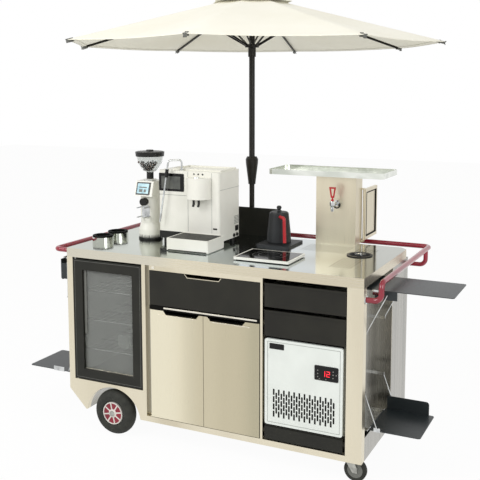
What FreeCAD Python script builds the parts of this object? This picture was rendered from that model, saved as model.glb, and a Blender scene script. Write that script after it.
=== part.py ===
"""Coffee cart with a folding umbrella, side shelves, fridge, ice maker and counter equipment.

Millimetres. X runs from the left end to the right end, Y from the front to the back, Z up from the floor.
Every formula is written in cart coordinates, with zero at the left front corner on the floor,
and each finished node is then shifted so that the origin lies under the middle of the whole.
"""
import FreeCAD, Part
import math
import os
import re

import Sketcher

Vector = FreeCAD.Vector

SIZES = [
    ("cart_length", 1500, "worktop, left end to right end"),
    ("cart_depth", 700, "worktop, front to back"),
    ("worktop_height", 900, "floor to the top of the worktop"),
    ("sheet_top", 5, "worktop sheet"),
    ("apron", 43, "height of the worktop's folded edge"),
    ("corner_cut", 34, "chamfer of the rear right worktop corner"),
    ("panel", 3, "outer cabinet sheets"),
    ("skin", 2, "skins of the hollow dividers and pressed fronts"),
    ("recess_wall", 12, "hollow wall of the recess"),
    ("frame_depth", 25, "front posts and rails, front to back"),
    ("post_width", 33, "left front post"),
    ("corner_post", 40, "right front post"),
    ("skirt_bottom", 103, "floor to the lower edge of the cabinet"),
    ("bay_floor", 130, "floor to the inside floor of the cabinet"),
    ("fridge_bay", 446, "left end to the first divider"),
    ("divider", 22, "first divider, in the shadow gap"),
    ("thin_divider", 11, "second divider"),
    ("ice_bay", 466, "right end to the second divider"),
    ("recess_depth", 63, "depth of the folding shelf recess"),
    ("recess_width", 430, "front of the cart to the end of the recess"),
    ("rail_drop", 21, "steel rail under the worktop"),
    ("chamfer_run", 94, "lower left corner cut, along X"),
    ("chamfer_rise", 93, "lower left corner cut, along Z"),
    ("deck", 250, "floor to the underside of the fridge"),
    ("arch_radius", 155, "wheel arch"),
    ("arch_centre", 80, "floor to the centre of the wheel arch"),
    ("wheel_x", 255, "left end to the axle"),
    ("wheel_radius", 110, "pneumatic wheel"),
    ("tyre_section", 33, "radius of the tyre section"),
    ("rim_radius", 56, "wheel rim"),
    ("rim_width", 46, "wheel rim, side to side"),
    ("axle_radius", 8, "axle between the two wheels"),
    ("wheel_inset", 23, "front face to the middle of the front wheel"),
    ("spokes", 8, "spokes of a wheel"),
    ("caster_radius", 50, "caster wheel"),
    ("caster_width", 24, "caster wheel, side to side"),
    ("caster_trail", 35, "swivel axis to wheel axle"),
    ("caster_inset_x", 78, "right end to the swivel axis"),
    ("caster_inset_y", 60, "front or back to the swivel axis"),
    ("drawer_row", 671, "floor to the lower edge of the middle drawer"),
    ("drawer_gap", 2, "gap round doors and drawers"),
    ("drawer_wall", 2, "walls of the drawer trays"),
    ("drawer_travel", 380, "drawers, fully out"),
    ("front_thick", 18, "doors and drawer fronts"),
    ("door_strip", 19, "rail between the middle drawer and the doors"),
    ("pull_width", 190, "notch pull along the front"),
    ("pull_depth", 17, "notch pull, top to bottom"),
    ("pull_slope", 14, "slanted ends of a notch pull"),
    ("pull_lip", 3, "thickness of the black pull lining"),
    ("upper_drawer_z", 732, "floor to the lower edge of the upper drawer"),
    ("upper_drawer_top", 834, "floor to the upper edge of the upper drawer"),
    ("lower_drawer_z", 603, "floor to the lower edge of the lower drawer"),
    ("lower_drawer_top", 715, "floor to the upper edge of the lower drawer"),
    ("ice_front_z", 200, "floor to the lower edge of the ice maker"),
    ("ice_height", 398, "ice maker, bottom to top"),
    ("ice_width", 362, "ice maker, side to side"),
    ("ice_depth", 480, "ice maker, front to back"),
    ("ice_travel", 330, "slide of the ice maker tray"),
    ("vent_columns", 12, "pairs of slot columns in the ice maker grille"),
    ("vent_pitch", 24, "pair of slot columns to the next pair"),
    ("vent_slot", 5, "slot, side to side"),
    ("vent_height", 26, "slot, bottom to top"),
    ("vent_rows", 4, "slots in a column"),
    ("vent_row_pitch", 33, "slot to the slot above"),
    ("fridge_door_x", 36, "left end to the fridge door"),
    ("fridge_door_width", 388, "fridge door, side to side"),
    ("fridge_door_z", 254, "floor to the lower edge of the fridge door"),
    ("fridge_door_height", 595, "fridge door, bottom to top"),
    ("fridge_frame", 52, "black frame round the fridge glass"),
    ("fridge_wall", 20, "insulated wall of the fridge"),
    ("fridge_depth", 600, "fridge, front to back"),
    ("fridge_shelf", 2, "radius of the shelf wires"),
    ("glass", 14, "double glazing of the fridge door"),
    ("mast_x", 650, "left end to the umbrella mast"),
    ("mast_setback", 30, "back of the worktop to the mast axis"),
    ("mast_radius", 15, "upper pole"),
    ("lower_pole_radius", 13.5, "lower pole"),
    ("sleeve_bottom", 1165, "floor to the lower end of the joint sleeve"),
    ("sleeve_height", 145, "joint sleeve"),
    ("sleeve_radius", 33, "joint sleeve at its top"),
    ("crown_height", 2130, "floor to the rib pivots"),
    ("crown_radius", 30, "mast axis to the rib pivots"),
    ("rib_length", 975, "rib, pivot to tip"),
    ("rib_droop", 14.5, "slope of an open rib, degrees"),
    ("rib_thick", 6, "rib, side to side"),
    ("rib_tall", 11, "rib, bottom to top"),
    ("rib_phase", 9, "first rib from the X axis, degrees"),
    ("runner_drop", 246, "rib pivots down to the stretcher pivots"),
    ("runner_radius", 28, "mast axis to the stretcher pivots"),
    ("stretcher_reach", 310, "rib pivot to the stretcher joint, along the rib"),
    ("stretcher_thick", 5, "stretcher, side to side"),
    ("stretcher_tall", 9, "stretcher, bottom to top"),
    ("pivot_radius", 2, "pivot pins of the umbrella"),
    ("play", 0.5, "clearance each side of a moving bar"),
    ("cloth", 2, "thickness that the canopy takes up"),
    ("shelf_thick", 3, "folding shelf plate"),
    ("upper_shelf_z", 838, "floor to the upper shelf hinges"),
    ("upper_shelf_reach", 375, "hinge to the outer edge of the right upper shelf"),
    ("left_upper_reach", 108, "hinge to the outer edge of the left upper shelf"),
    ("upper_hinge_in", 25, "right end in to the right upper hinge"),
    ("shelf_y", 72, "front to the near edge of the right shelves"),
    ("shelf_depth", 260, "folding shelves, front to back"),
    ("lower_shelf_z", 230, "floor to the lower shelf hinges"),
    ("lower_shelf_reach", 222, "hinge to the outer edge of the right lower shelf"),
    ("lower_hinge_out", 6, "right end out to the right lower hinge"),
    ("left_shelf_y", 26, "front to the near edge of the left shelves"),
    ("left_hinge_out", 55, "left end out to the left upper hinge"),
    ("left_lower_reach", 306, "hinge to the outer edge of the left lower shelf"),
    ("left_low_out", 24, "left end out to the left lower hinge"),
    ("left_low_y", 98, "front to the near edge of the left lower shelf"),
    ("fin_height", 36, "stiffening fin of an upper shelf, top to bottom"),
    ("fin_length", 95, "stiffening fin of the right upper shelf, outwards"),
    ("tall_fin", 62, "stop fin of a lower shelf"),
    ("tall_fin_length", 190, "stop fin of a lower shelf, outwards"),
    ("hinge_radius", 4, "hinge barrels of the shelves"),
    ("stay_radius", 2.5, "shelf stay rods"),
    ("stay_gap", 9, "shelf edge to the stay rod"),
    ("tube_radius", 12, "red handle tube"),
    ("tube_bend", 30, "bend of the handle tube"),
    ("handle_z", 884, "floor to the middle of the handle tube"),
    ("handle_out", 67, "right end out to the middle of the handle"),
    ("left_handle_out", 85, "left end out to the middle of the handle"),
    ("rail_setback", 160, "back of the worktop to the rear rail"),
    ("tower_x", 1046, "left end to the water tower"),
    ("tower_width", 206, "water tower, side to side"),
    ("tower_depth", 100, "water tower, front to back"),
    ("tower_front", 640, "front to the water tower"),
    ("tower_height", 338, "water tower above the worktop"),
    ("tower_wall", 8, "walls of the water tower"),
    ("tray_x", 800, "left end to the tower tray"),
    ("tray_length", 600, "tower tray, side to side"),
    ("tray_depth", 258, "tower tray, front to back"),
    ("tray_height", 26, "tower tray, bottom to top"),
    ("tray_wall", 3, "walls of the tower tray"),
    ("tray_corner", 22, "corner radius of the tower tray"),
    ("tap_height", 207, "tap above the worktop"),
    ("lever_foot", 4.5, "round foot of the tap lever"),
    ("tower_door_width", 202, "tower door, hinge to free edge"),
    ("tower_door_thick", 14, "tower door"),
    ("machine_x", 334, "left end to the coffee machine"),
    ("machine_front", 310, "front to the coffee machine"),
    ("machine_width", 341, "coffee machine, side to side"),
    ("machine_depth", 222, "coffee machine, front to back"),
    ("machine_height", 340, "coffee machine without its feet"),
    ("machine_feet", 25, "feet of the coffee machine"),
    ("brew_radius", 62, "half round brew cover"),
    ("brew_height", 104, "brew cover, bottom to top"),
    ("drip_width", 222, "drip tray, side to side"),
    ("drip_depth", 163, "drip tray, front to back"),
    ("drip_height", 58, "drip tray, bottom to top"),
    ("wand_radius", 4.5, "steam wand"),
    ("grinder_x", 235, "left end to the grinder"),
    ("grinder_y", 390, "front to the grinder"),
    ("grinder_radius", 62, "grinder base"),
    ("grinder_height", 452, "grinder with its hopper"),
    ("hopper_radius", 72, "bean hopper at its lid"),
    ("kettle_x", 895, "left end to the kettle"),
    ("kettle_y", 525, "front to the kettle"),
    ("kettle_radius", 60, "kettle at its foot"),
    ("kettle_top", 47, "kettle radius at its lid"),
    ("kettle_height", 147, "kettle body"),
    ("hob_x", 855, "left end to the hob"),
    ("hob_y", 95, "front to the hob"),
    ("hob_width", 270, "hob, side to side"),
    ("hob_depth", 205, "hob, front to back"),
    ("hob_height", 15, "hob, bottom to top"),
    ("screen_x", 460, "left end to the back screen"),
    ("screen_width", 377, "back screen, side to side"),
    ("screen_height", 146, "back screen above the worktop"),
    ("cup_radius", 49, "cup dispenser tube"),
    ("cup_x", 66, "left end to the cup dispensers"),
    ("cup_y", 208, "front to the first cup dispenser"),
    ("cup_pitch", 132, "first cup dispenser to the second"),
    ("rinser_x", 1340, "left end to the pitcher rinser"),
    ("rinser_y", 436, "front to the pitcher rinser"),
    ("rinser_radius", 60, "pitcher rinser"),
    ("grate", 3, "thickness of the drain grates"),
    ("drain_wide", 3.5, "drain slot, side to side"),
    ("drain_long", 10, "drain slot, front to back"),
    ("drain_lean", 7, "slant of a drain slot"),
    ("drain_pitch", 15, "drain slot to the next in its row"),
    ("drain_row", 16, "row of drain slots to the next"),
    ("seat", 0.3, "running gap between round faces of two pieces"),
]

NAMES = {name for name, _, _ in SIZES}
WORD = re.compile(r"[a-z_]+")
ORIGIN_X = "(cart_length - upper_hinge_in + upper_shelf_reach - left_lower_reach - left_low_out) / 2"
DIVIDER_X = "fridge_bay"
MIDDLE_X = "(fridge_bay + divider)"
MIDDLE_END = "(cart_length - ice_bay)"
RIGHT_X = "(cart_length - ice_bay + thin_divider)"
RECESS_X = "(cart_length - recess_depth)"
BAY_END = "(cart_length - recess_depth - recess_wall)"
UNDER_TOP = "(worktop_height - apron)"
WALL_BACK = "(cart_depth - panel)"
MAST_Y = "(cart_depth + mast_setback)"

DOC = FreeCAD.newDocument("coffee_cart")
DIMS = DOC.addObject("Spreadsheet::Sheet", "dims")
NODES = []


def fill_sheet():
    """Write each driving size with its name and meaning into the sheet."""
    for row, (name, size, note) in enumerate(SIZES, start=1):
        DIMS.set(f"A{row}", str(size))
        DIMS.setAlias(f"A{row}", name)
        DIMS.set(f"B{row}", note)
    DOC.recompute()


def formula(text):
    """Point each size name in a formula at its cell of the sheet."""
    return WORD.sub(lambda hit: "dims." + hit.group() if hit.group() in NAMES else hit.group(), str(text))


def value(text):
    """Work out a formula from the sheet."""
    return float(DIMS.evalExpression(formula(text)))


def tie(item, **sizes):
    """Bind properties of an object to formulas."""
    for slot, text in sizes.items():
        item.setExpression(slot, formula(text))


def seat(item, x, y, z):
    """Bind an object's place to formulas."""
    for letter, text in zip("xyz", (x, y, z)):
        item.setExpression(f"Placement.Base.{letter}", formula(text))
    return item


def turn(item, axis):
    """Lay an object that was drawn along Z along another axis."""
    turns = {"x": (Vector(0, 1, 0), 90), "y": (Vector(1, 0, 0), -90), "z": (Vector(0, 0, 1), 0)}
    item.Placement = FreeCAD.Placement(Vector(), FreeCAD.Rotation(*turns[axis]))
    return item


def block(name, x, y, z):
    """A block between two places on each axis, each given as (from, to)."""
    item = DOC.addObject("Part::Box", name)
    length, width, height = (f"({high}) - ({low})" for low, high in (x, y, z))
    tie(item, Length=length, Width=width, Height=height)
    return seat(item, x[0], y[0], z[0])


def hollow_block(name, x, y, z, wall):
    """A closed box with walls of one thickness."""
    inner = [(f"{low} + {wall}", f"{high} - {wall}") for low, high in (x, y, z)]
    return without(name, block(name + "_outside", x, y, z), block(name + "_inside", *inner))


def rod(name, axis, x, y, z, radius, length):
    """A round bar along an axis from its start."""
    item = turn(DOC.addObject("Part::Cylinder", name), axis)
    tie(item, Radius=radius, Height=length)
    return seat(item, x, y, z)


def cone(name, axis, x, y, z, radius, end_radius, length):
    """A tapered round bar along an axis from its start."""
    item = turn(DOC.addObject("Part::Cone", name), axis)
    tie(item, Radius1=radius, Radius2=end_radius, Height=length)
    return seat(item, x, y, z)


def joined(name, *items):
    """Several solids made one."""
    item = DOC.addObject("Part::MultiFuse", name)
    item.Shapes = list(items)
    return item


def without(name, base, *tools):
    """A solid less one or more others."""
    item = DOC.addObject("Part::Cut", name)
    item.Base = base
    item.Tool = tools[0] if len(tools) == 1 else joined(name + "_tools", *tools)
    return item


def sketch_in(body, plane, name, start="0"):
    """A sketch on one of the body's own origin planes, or lifted off it."""
    support = next(item for item in body.Origin.OriginFeatures if item.Role == plane)
    sketch = body.newObject("Sketcher::SketchObject", name)
    sketch.AttachmentSupport = (support, [""])
    sketch.MapMode = "FlatFace"
    sketch.setExpression("AttachmentOffset.Base.z", formula(start))
    return sketch


def place_point(sketch, shape_index, point_index, corner):
    """Hold a point of a sketch where two formulas say."""
    for kind, text in zip(("DistanceX", "DistanceY"), corner):
        rule = Sketcher.Constraint(kind, -1, 1, shape_index, point_index, value(text))
        number = sketch.addConstraint(rule)
        sketch.setExpression(f"Constraints[{number}]", formula(text))


def draw_outline(sketch, corners):
    """A closed outline of straight edges whose corners follow formulas."""
    places = [Vector(value(u), value(v), 0) for u, v in corners]
    first = sketch.GeometryCount
    count = len(corners)
    for index, start in enumerate(places):
        sketch.addGeometry(Part.LineSegment(start, places[(index + 1) % count]), False)
    for index, corner in enumerate(corners):
        follower = first + (index + 1) % count
        sketch.addConstraint(Sketcher.Constraint("Coincident", first + index, 2, follower, 1))
        place_point(sketch, first + index, 1, corner)


def draw_circle(sketch, centre, radius):
    """A circle whose centre and radius follow formulas."""
    number = sketch.GeometryCount
    middle = Vector(value(centre[0]), value(centre[1]), 0)
    sketch.addGeometry(Part.Circle(middle, Vector(0, 0, 1), value(radius)), False)
    place_point(sketch, number, 3, centre)
    rule = sketch.addConstraint(Sketcher.Constraint("Radius", number, value(radius)))
    sketch.setExpression(f"Constraints[{rule}]", formula(radius))


def plate(name, plane, corners, length, x="0", y="0", z="0", start="0"):
    """A body padded from an outline: XY pads up, XZ pads backwards, YZ pads to the right."""
    body = DOC.addObject("PartDesign::Body", name)
    sketch = sketch_in(body, plane, name + "_outline", start)
    draw_outline(sketch, corners)
    pad = body.newObject("PartDesign::Pad", name + "_pad")
    pad.Profile = sketch
    tie(pad, Length=length)
    pad.Reversed = plane == "XZ_Plane"
    seat(body, x, y, z)
    DOC.recompute()
    return body


def punch(body, plane, draw, start="0"):
    """Cut a drawn hole from the start plane away through the rest of the body."""
    before = body.Shape.Volume
    label = f"{body.Name}_hole{len(body.Group)}"
    sketch = sketch_in(body, plane, label + "_sketch", start)
    draw(sketch)
    pocket = body.newObject("PartDesign::Pocket", label)
    pocket.Profile = sketch
    pocket.Type = 1
    pocket.Reversed = plane != "XZ_Plane"
    DOC.recompute()
    if body.Shape.Volume > before - 0.01:
        raise RuntimeError(f"{label} cuts nothing")
    return pocket


def add_pin(body, centre, start, length):
    """Stand a pivot pin on a body drawn in the XZ plane."""
    sketch = sketch_in(body, "XZ_Plane", f"{body.Name}_pin_outline", start)
    draw_circle(sketch, centre, "pivot_radius")
    pin = body.newObject("PartDesign::Pad", f"{body.Name}_pin")
    pin.Profile = sketch
    tie(pin, Length=length)
    pin.Reversed = True
    DOC.recompute()


def round_edges(body, axis, radius, wanted=lambda middle: True):
    """Round the straight edges along an axis whose middle passes a test, in the body's own frame."""
    tip = body.Tip
    names = []
    for number, edge in enumerate(tip.Shape.Edges, start=1):
        straight = edge.Curve.TypeId == "Part::GeomLine"
        if straight and abs(edge.tangentAt(edge.FirstParameter).dot(axis)) > 0.999:
            if wanted(edge.CenterOfMass):
                names.append(f"Edge{number}")
    fillet = body.newObject("PartDesign::Fillet", f"{body.Name}_round{len(body.Group)}")
    fillet.Base = (tip, names)
    tie(fillet, Radius=radius)
    DOC.recompute()
    return body


def rounded_block(name, x, y, z, radius, axis="z"):
    """A block with its four edges along one axis rounded."""
    planes = {"z": ("XY_Plane", x, y, z), "y": ("XZ_Plane", x, z, y), "x": ("YZ_Plane", y, z, x)}
    plane, across, up, along = planes[axis]
    wide = f"({across[1]}) - ({across[0]})"
    tall = f"({up[1]}) - ({up[0]})"
    corners = [("0", "0"), (wide, "0"), (wide, tall), ("0", tall)]
    body = plate(name, plane, corners, f"({along[1]}) - ({along[0]})", x[0], y[0], z[0])
    lines = {"x": Vector(1, 0, 0), "y": Vector(0, 1, 0), "z": Vector(0, 0, 1)}
    return round_edges(body, lines[axis], radius)


def turned(name, outline, x, y, z, axis="z"):
    """A body turned about an axis from (radius, height) corners."""
    body = turn(DOC.addObject("PartDesign::Body", name), axis)
    sketch = sketch_in(body, "XZ_Plane", name + "_outline")
    draw_outline(sketch, outline)
    turning = body.newObject("PartDesign::Revolution", name + "_turning")
    turning.Profile = sketch
    turning.ReferenceAxis = (sketch, ["V_Axis"])
    turning.Angle = 360
    seat(body, x, y, z)
    DOC.recompute()
    return body


def repeat_round(body, feature, count):
    """Repeat a feature evenly about the body's Z axis."""
    pattern = body.newObject("PartDesign::PolarPattern", feature.Name + "_ring")
    pattern.Originals = [feature]
    pattern.Axis = (feature.Profile[0], ["N_Axis"])
    pattern.Angle = 360
    tie(pattern, Occurrences=count)
    body.Tip = pattern
    DOC.recompute()
    return body


def bent_tube(name, corners, bend, radius):
    """A round bar along straight runs joined by tangent bends."""
    points = [Vector(*(value(text) for text in corner)) for corner in corners]
    bend_radius = value(bend)
    edges = []
    start = points[0]
    for before, corner, after in zip(points, points[1:], points[2:]):
        incoming = (corner - before).normalize()
        outgoing = (after - corner).normalize()
        half_turn = incoming.getAngle(outgoing) / 2
        cut_back = bend_radius * math.tan(half_turn)
        arc_start = corner - incoming * cut_back
        arc_end = corner + outgoing * cut_back
        inward = (outgoing - incoming).normalize()
        arc_middle = corner + inward * bend_radius * (1 / math.cos(half_turn) - 1)
        edges.append(Part.LineSegment(start, arc_start).toShape())
        edges.append(Part.Arc(arc_start, arc_middle, arc_end).toShape())
        start = arc_end
    edges.append(Part.LineSegment(start, points[-1]).toShape())
    section = Part.Wire(Part.makeCircle(value(radius), points[0], points[1] - points[0]))
    item = DOC.addObject("Part::Feature", name)
    item.Shape = Part.Wire(edges).makePipeShell([section], True, True)
    return item


def node(name, *items):
    """One named sub-part, made of one or more solids and shifted to the common origin."""
    group = DOC.addObject("Part::Compound", name + "_node")
    group.Links = list(items)
    group.Label = name
    seat(group, f"-({ORIGIN_X})", f"-{MAST_Y}", "0")
    NODES.append(group)


def build_worktop():
    """The folded steel worktop, with its wells for drains, rinser and cups."""
    corners = [
        ("0", "0"),
        ("cart_length", "0"),
        ("cart_length", "cart_depth - corner_cut"),
        ("cart_length - corner_cut", "cart_depth"),
        ("0", "cart_depth"),
    ]
    top = plate("worktop_body", "XY_Plane", corners, "apron", z=UNDER_TOP)
    below = [
        ("panel", "panel"),
        ("cart_length - panel", "panel"),
        ("cart_length - panel", "cart_depth - corner_cut - 2"),
        ("cart_length - corner_cut - 2", "cart_depth - panel"),
        ("panel", "cart_depth - panel"),
    ]
    hollow = punch(top, "XY_Plane", lambda sketch: draw_outline(sketch, below))
    hollow.Type = 0
    hollow.Reversed = True
    tie(hollow, Length="apron - sheet_top")
    DOC.recompute()
    for corner_x, corner_y, wide, deep in GRATES:
        outline = rectangle(corner_x, corner_y, wide, deep)
        punch(top, "XY_Plane", lambda sketch, outline=outline: draw_outline(sketch, outline), "apron - grate")
    round_well = ("rinser_x", "rinser_y")
    punch(top, "XY_Plane", lambda sketch: draw_circle(sketch, round_well, "rinser_radius + seat"),
          "apron / 2")
    for step in range(2):
        centre = ("cup_x", f"cup_y + {step} * cup_pitch")
        punch(top, "XY_Plane", lambda sketch, centre=centre: draw_circle(sketch, centre, "cup_radius + seat"))
    node("worktop", top)


def rectangle(x, y, wide, deep):
    """The four corners of a rectangle."""
    return [(x, y), (f"{x} + {wide}", y), (f"{x} + {wide}", f"{y} + {deep}"), (x, f"{y} + {deep}")]


GRATES = [
    ("tower_x - 16", "tower_front - 210", "tower_width + 38", "180"),
    ("rinser_x - rinser_radius", "140", "2 * rinser_radius + 10", "cart_depth - 240"),
]


def build_worktop_inserts():
    """Drain grates, pitcher rinser and the two cup dispensers."""
    pieces = []
    for number, (corner_x, corner_y, wide, deep) in enumerate(GRATES):
        outline = rectangle(f"{corner_x} + seat", f"{corner_y} + seat", f"{wide} - 2 * seat",
                            f"{deep} - 2 * seat")
        pieces.append(plate(f"grate_{number}", "XY_Plane", outline, "grate", z="worktop_height - grate"))
    back, side = pieces
    corner_x, corner_y, wide, deep = GRATES[0]
    punch_slots(back, "back_slots", f"{corner_x} + 10", f"{corner_y} + 14", wide, deep)
    corner_x, corner_y, wide, deep = GRATES[1]
    middle = ("rinser_x", "rinser_y")
    punch(side, "XY_Plane", lambda sketch: draw_circle(sketch, middle, "rinser_radius + 2 * seat"))
    front = f"rinser_y - rinser_radius - ({corner_y})"
    behind = "rinser_y + rinser_radius"
    punch_slots(side, "side_slots", f"{corner_x} + 10", f"{corner_y} + 14", wide, front)
    punch_slots(side, "rear_slots", f"{corner_x} + 10", f"{behind} + 14", wide,
                f"{corner_y} + {deep} - ({behind})")
    rinser = [
        ("0", "-apron / 2 + seat"),
        ("rinser_radius", "-apron / 2 + seat"),
        ("rinser_radius", "4"),
        ("rinser_radius - 10", "4"),
        ("rinser_radius - 16", "-8"),
        ("16", "-8"),
        ("12", "1"),
        ("0", "1"),
    ]
    pieces.append(turned("rinser", rinser, "rinser_x", "rinser_y", "worktop_height"))
    for step in range(2):
        tube = [
            ("0", "-apron + seat"),
            ("cup_radius", "-apron + seat"),
            ("cup_radius", "0"),
            ("cup_radius + 4", "0"),
            ("cup_radius + 4", "26"),
            ("cup_radius - 6", "26"),
            ("cup_radius - 6", "4 - apron"),
            ("0", "4 - apron"),
        ]
        ring = [
            ("cup_radius - 6 - seat", "16"),
            ("cup_radius - 6 - seat", "26 + seat"),
            ("cup_radius + 2", "26 + seat"),
            ("cup_radius + 2", "34"),
            ("cup_radius - 12", "34"),
            ("cup_radius - 12", "16"),
        ]
        place = ("cup_x", f"cup_y + {step} * cup_pitch", "worktop_height")
        pieces.append(turned(f"cup_tube_{step}", tube, *place))
        pieces.append(turned(f"cup_ring_{step}", ring, *place))
    node("worktop_inserts", *pieces)


def punch_slots(grating, name, x, y, wide, deep):
    """Rows of small slanted drain slots over one field of a grate."""
    slot = [
        (x, y),
        (f"{x} + drain_wide", y),
        (f"{x} + drain_wide + drain_lean", f"{y} + drain_long"),
        (f"{x} + drain_lean", f"{y} + drain_long"),
    ]
    columns = int(value(f"(({wide}) - 20 - drain_lean) / drain_pitch")) + 1
    rows = int(value(f"(({deep}) - 22 - drain_long) / drain_row")) + 1
    pocket = punch(grating, "XY_Plane", lambda sketch: draw_outline(sketch, slot))
    field = grating.newObject("PartDesign::LinearPattern", name)
    field.Originals = [pocket]
    field.Direction = (pocket.Profile[0], ["H_Axis"])
    field.Direction2 = (pocket.Profile[0], ["V_Axis"])
    field.Occurrences = columns
    field.Occurrences2 = rows
    tie(field, Length=f"{columns - 1} * drain_pitch", Length2=f"{rows - 1} * drain_row")
    grating.Tip = field
    DOC.recompute()


def arch_side(name, right, top, length, y):
    """An upright sheet with the cut lower left corner and the round wheel arch."""
    corners = [
        ("0", "skirt_bottom + chamfer_rise"),
        ("chamfer_run", "skirt_bottom"),
        (right, "skirt_bottom"),
        (right, top),
        ("0", top),
    ]
    sheet = plate(name, "XZ_Plane", corners, length, y=y)
    punch(sheet, "XZ_Plane", lambda sketch: draw_circle(sketch, ("wheel_x", "arch_centre"), "arch_radius"))
    return sheet


def build_front_frame():
    """The welded front frame: posts, rails and the lower apron with the wheel arch."""
    depth = ("0", "frame_depth")
    apron_sheet = arch_side("front_apron", DIVIDER_X, "deck", "frame_depth", "0")
    left_post = block("left_post", ("0", "post_width"), depth, ("deck", UNDER_TOP))
    bay_post = block("bay_post", ("fridge_bay - 20", DIVIDER_X), depth, ("deck", UNDER_TOP))
    right_post = block(
        "right_post", ("cart_length - corner_post", "cart_length"), ("0", "corner_post"),
        ("skirt_bottom", UNDER_TOP)
    )
    filler = block(
        "filler_strip", (f"{RECESS_X} - 9", "cart_length - corner_post"), depth, ("bay_floor", f"{UNDER_TOP}")
    )
    top_rail = block("top_rail", (MIDDLE_X, MIDDLE_END), depth, (f"{UNDER_TOP} - rail_drop", UNDER_TOP))
    strip = block("door_strip_bar", (MIDDLE_X, MIDDLE_END), depth, ("drawer_row - door_strip", "drawer_row"))
    bottom_rail = block(
        "bottom_rail", (DIVIDER_X, "cart_length - corner_post"), depth, ("skirt_bottom", "bay_floor")
    )
    upright = block("bay_upright", (MIDDLE_END, RIGHT_X), depth, ("bay_floor", UNDER_TOP))
    posts = [left_post, bay_post, right_post, filler, upright]
    node("front_frame", apron_sheet, *posts, top_rail, strip, bottom_rail)


def build_cabinet_panels():
    """Walls, floors, dividers, wheel tunnel and drawer runners behind the front frame."""
    behind = ("frame_depth", WALL_BACK)
    low_corner = "skirt_bottom + chamfer_rise"
    left_wall = block("left_wall", ("0", "panel"), behind, (low_corner, UNDER_TOP))
    slant = plate(
        "slant_panel",
        "XZ_Plane",
        [
            ("0", low_corner),
            ("chamfer_run", "skirt_bottom"),
            ("chamfer_run + 3", "skirt_bottom + 6"),
            ("6", low_corner),
        ],
        f"{WALL_BACK} - frame_depth",
        y="frame_depth",
    )
    back = arch_side("back_panel", "cart_length", UNDER_TOP, "panel", WALL_BACK)
    floor_end = "cart_length - panel"
    floor = plate(
        "floor_panel",
        "XY_Plane",
        [
            (DIVIDER_X, "frame_depth"),
            ("cart_length - corner_post", "frame_depth"),
            ("cart_length - corner_post", "corner_post"),
            (floor_end, "corner_post"),
            (floor_end, WALL_BACK),
            (DIVIDER_X, WALL_BACK),
        ],
        "3",
        z="bay_floor",
    )
    deck = block("fridge_deck", ("panel", DIVIDER_X), behind, ("deck - panel", "deck"))
    tunnel = without(
        "wheel_tunnel",
        rod("tunnel_outside", "y", "wheel_x", "frame_depth", "arch_centre", "arch_radius + 3",
            f"{WALL_BACK} - frame_depth"),
        rod("tunnel_inside", "y", "wheel_x", "0", "arch_centre", "arch_radius", "cart_depth"),
        block("tunnel_below", ("0", "2 * wheel_x"), ("0", "cart_depth"), ("-arch_radius", "skirt_bottom")),
    )
    above_floor = ("bay_floor + 3", UNDER_TOP)
    divider_y = ("frame_depth - 5", WALL_BACK)
    divider = hollow_block("first_divider", (DIVIDER_X, MIDDLE_X), divider_y, above_floor, "skin")
    second = hollow_block("second_divider", (MIDDLE_END, RIGHT_X), behind, above_floor, "skin")
    recess_y = ("frame_depth", "recess_width + panel")
    recess_wall = hollow_block("recess_side", (BAY_END, RECESS_X), recess_y, above_floor, "skin")
    recess_end_y = ("recess_width", "recess_width + panel")
    recess_end = block("recess_end", (RECESS_X, "cart_length - panel"), recess_end_y, above_floor)
    side_x = ("cart_length - panel", "cart_length")
    flush_wall = block("flush_wall", side_x, ("recess_width", WALL_BACK), ("skirt_bottom", UNDER_TOP))
    ledge = "lower_shelf_z - 24"
    side_skirt = block("side_skirt", side_x, ("corner_post", "recess_width"), ("skirt_bottom", ledge))
    ledge_y = ("corner_post", "recess_width")
    recess_floor = block("recess_floor", (RECESS_X, "cart_length - panel"), ledge_y,
                         (f"{ledge} - panel", ledge))
    drawer_floor = block(
        "drawer_floor", (MIDDLE_X, MIDDLE_END), behind,
        ("drawer_row - door_strip", "drawer_row - door_strip + 3")
    )
    sheets = [left_wall, slant, back, floor, deck, tunnel, divider, second, recess_wall]
    sheets += [recess_end, flush_wall, side_skirt, recess_floor, drawer_floor]
    sheets += build_runners()
    node("cabinet_panels", *sheets)


def build_runners():
    """Fixed slide rails that carry the drawers and the ice maker tray."""
    rails = []
    heights = [
        (MIDDLE_X, MIDDLE_END, "drawer_row + 60"),
        (RIGHT_X, BAY_END, "upper_drawer_z + 40"),
        (RIGHT_X, BAY_END, "lower_drawer_z + 40"),
        (RIGHT_X, BAY_END, "bay_floor + 24"),
    ]
    for number, (left, right, height) in enumerate(heights):
        for side, start in (("left", left), ("right", f"{right} - {RUNNER_WIDE}")):
            span = (start, f"{start} + {RUNNER_WIDE}")
            rails.append(block(f"runner_{number}_{side}", span, ("frame_depth + 5", "540"),
                               (height, f"{height} + 18")))
    return rails


RUNNER_WIDE = "9"


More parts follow.
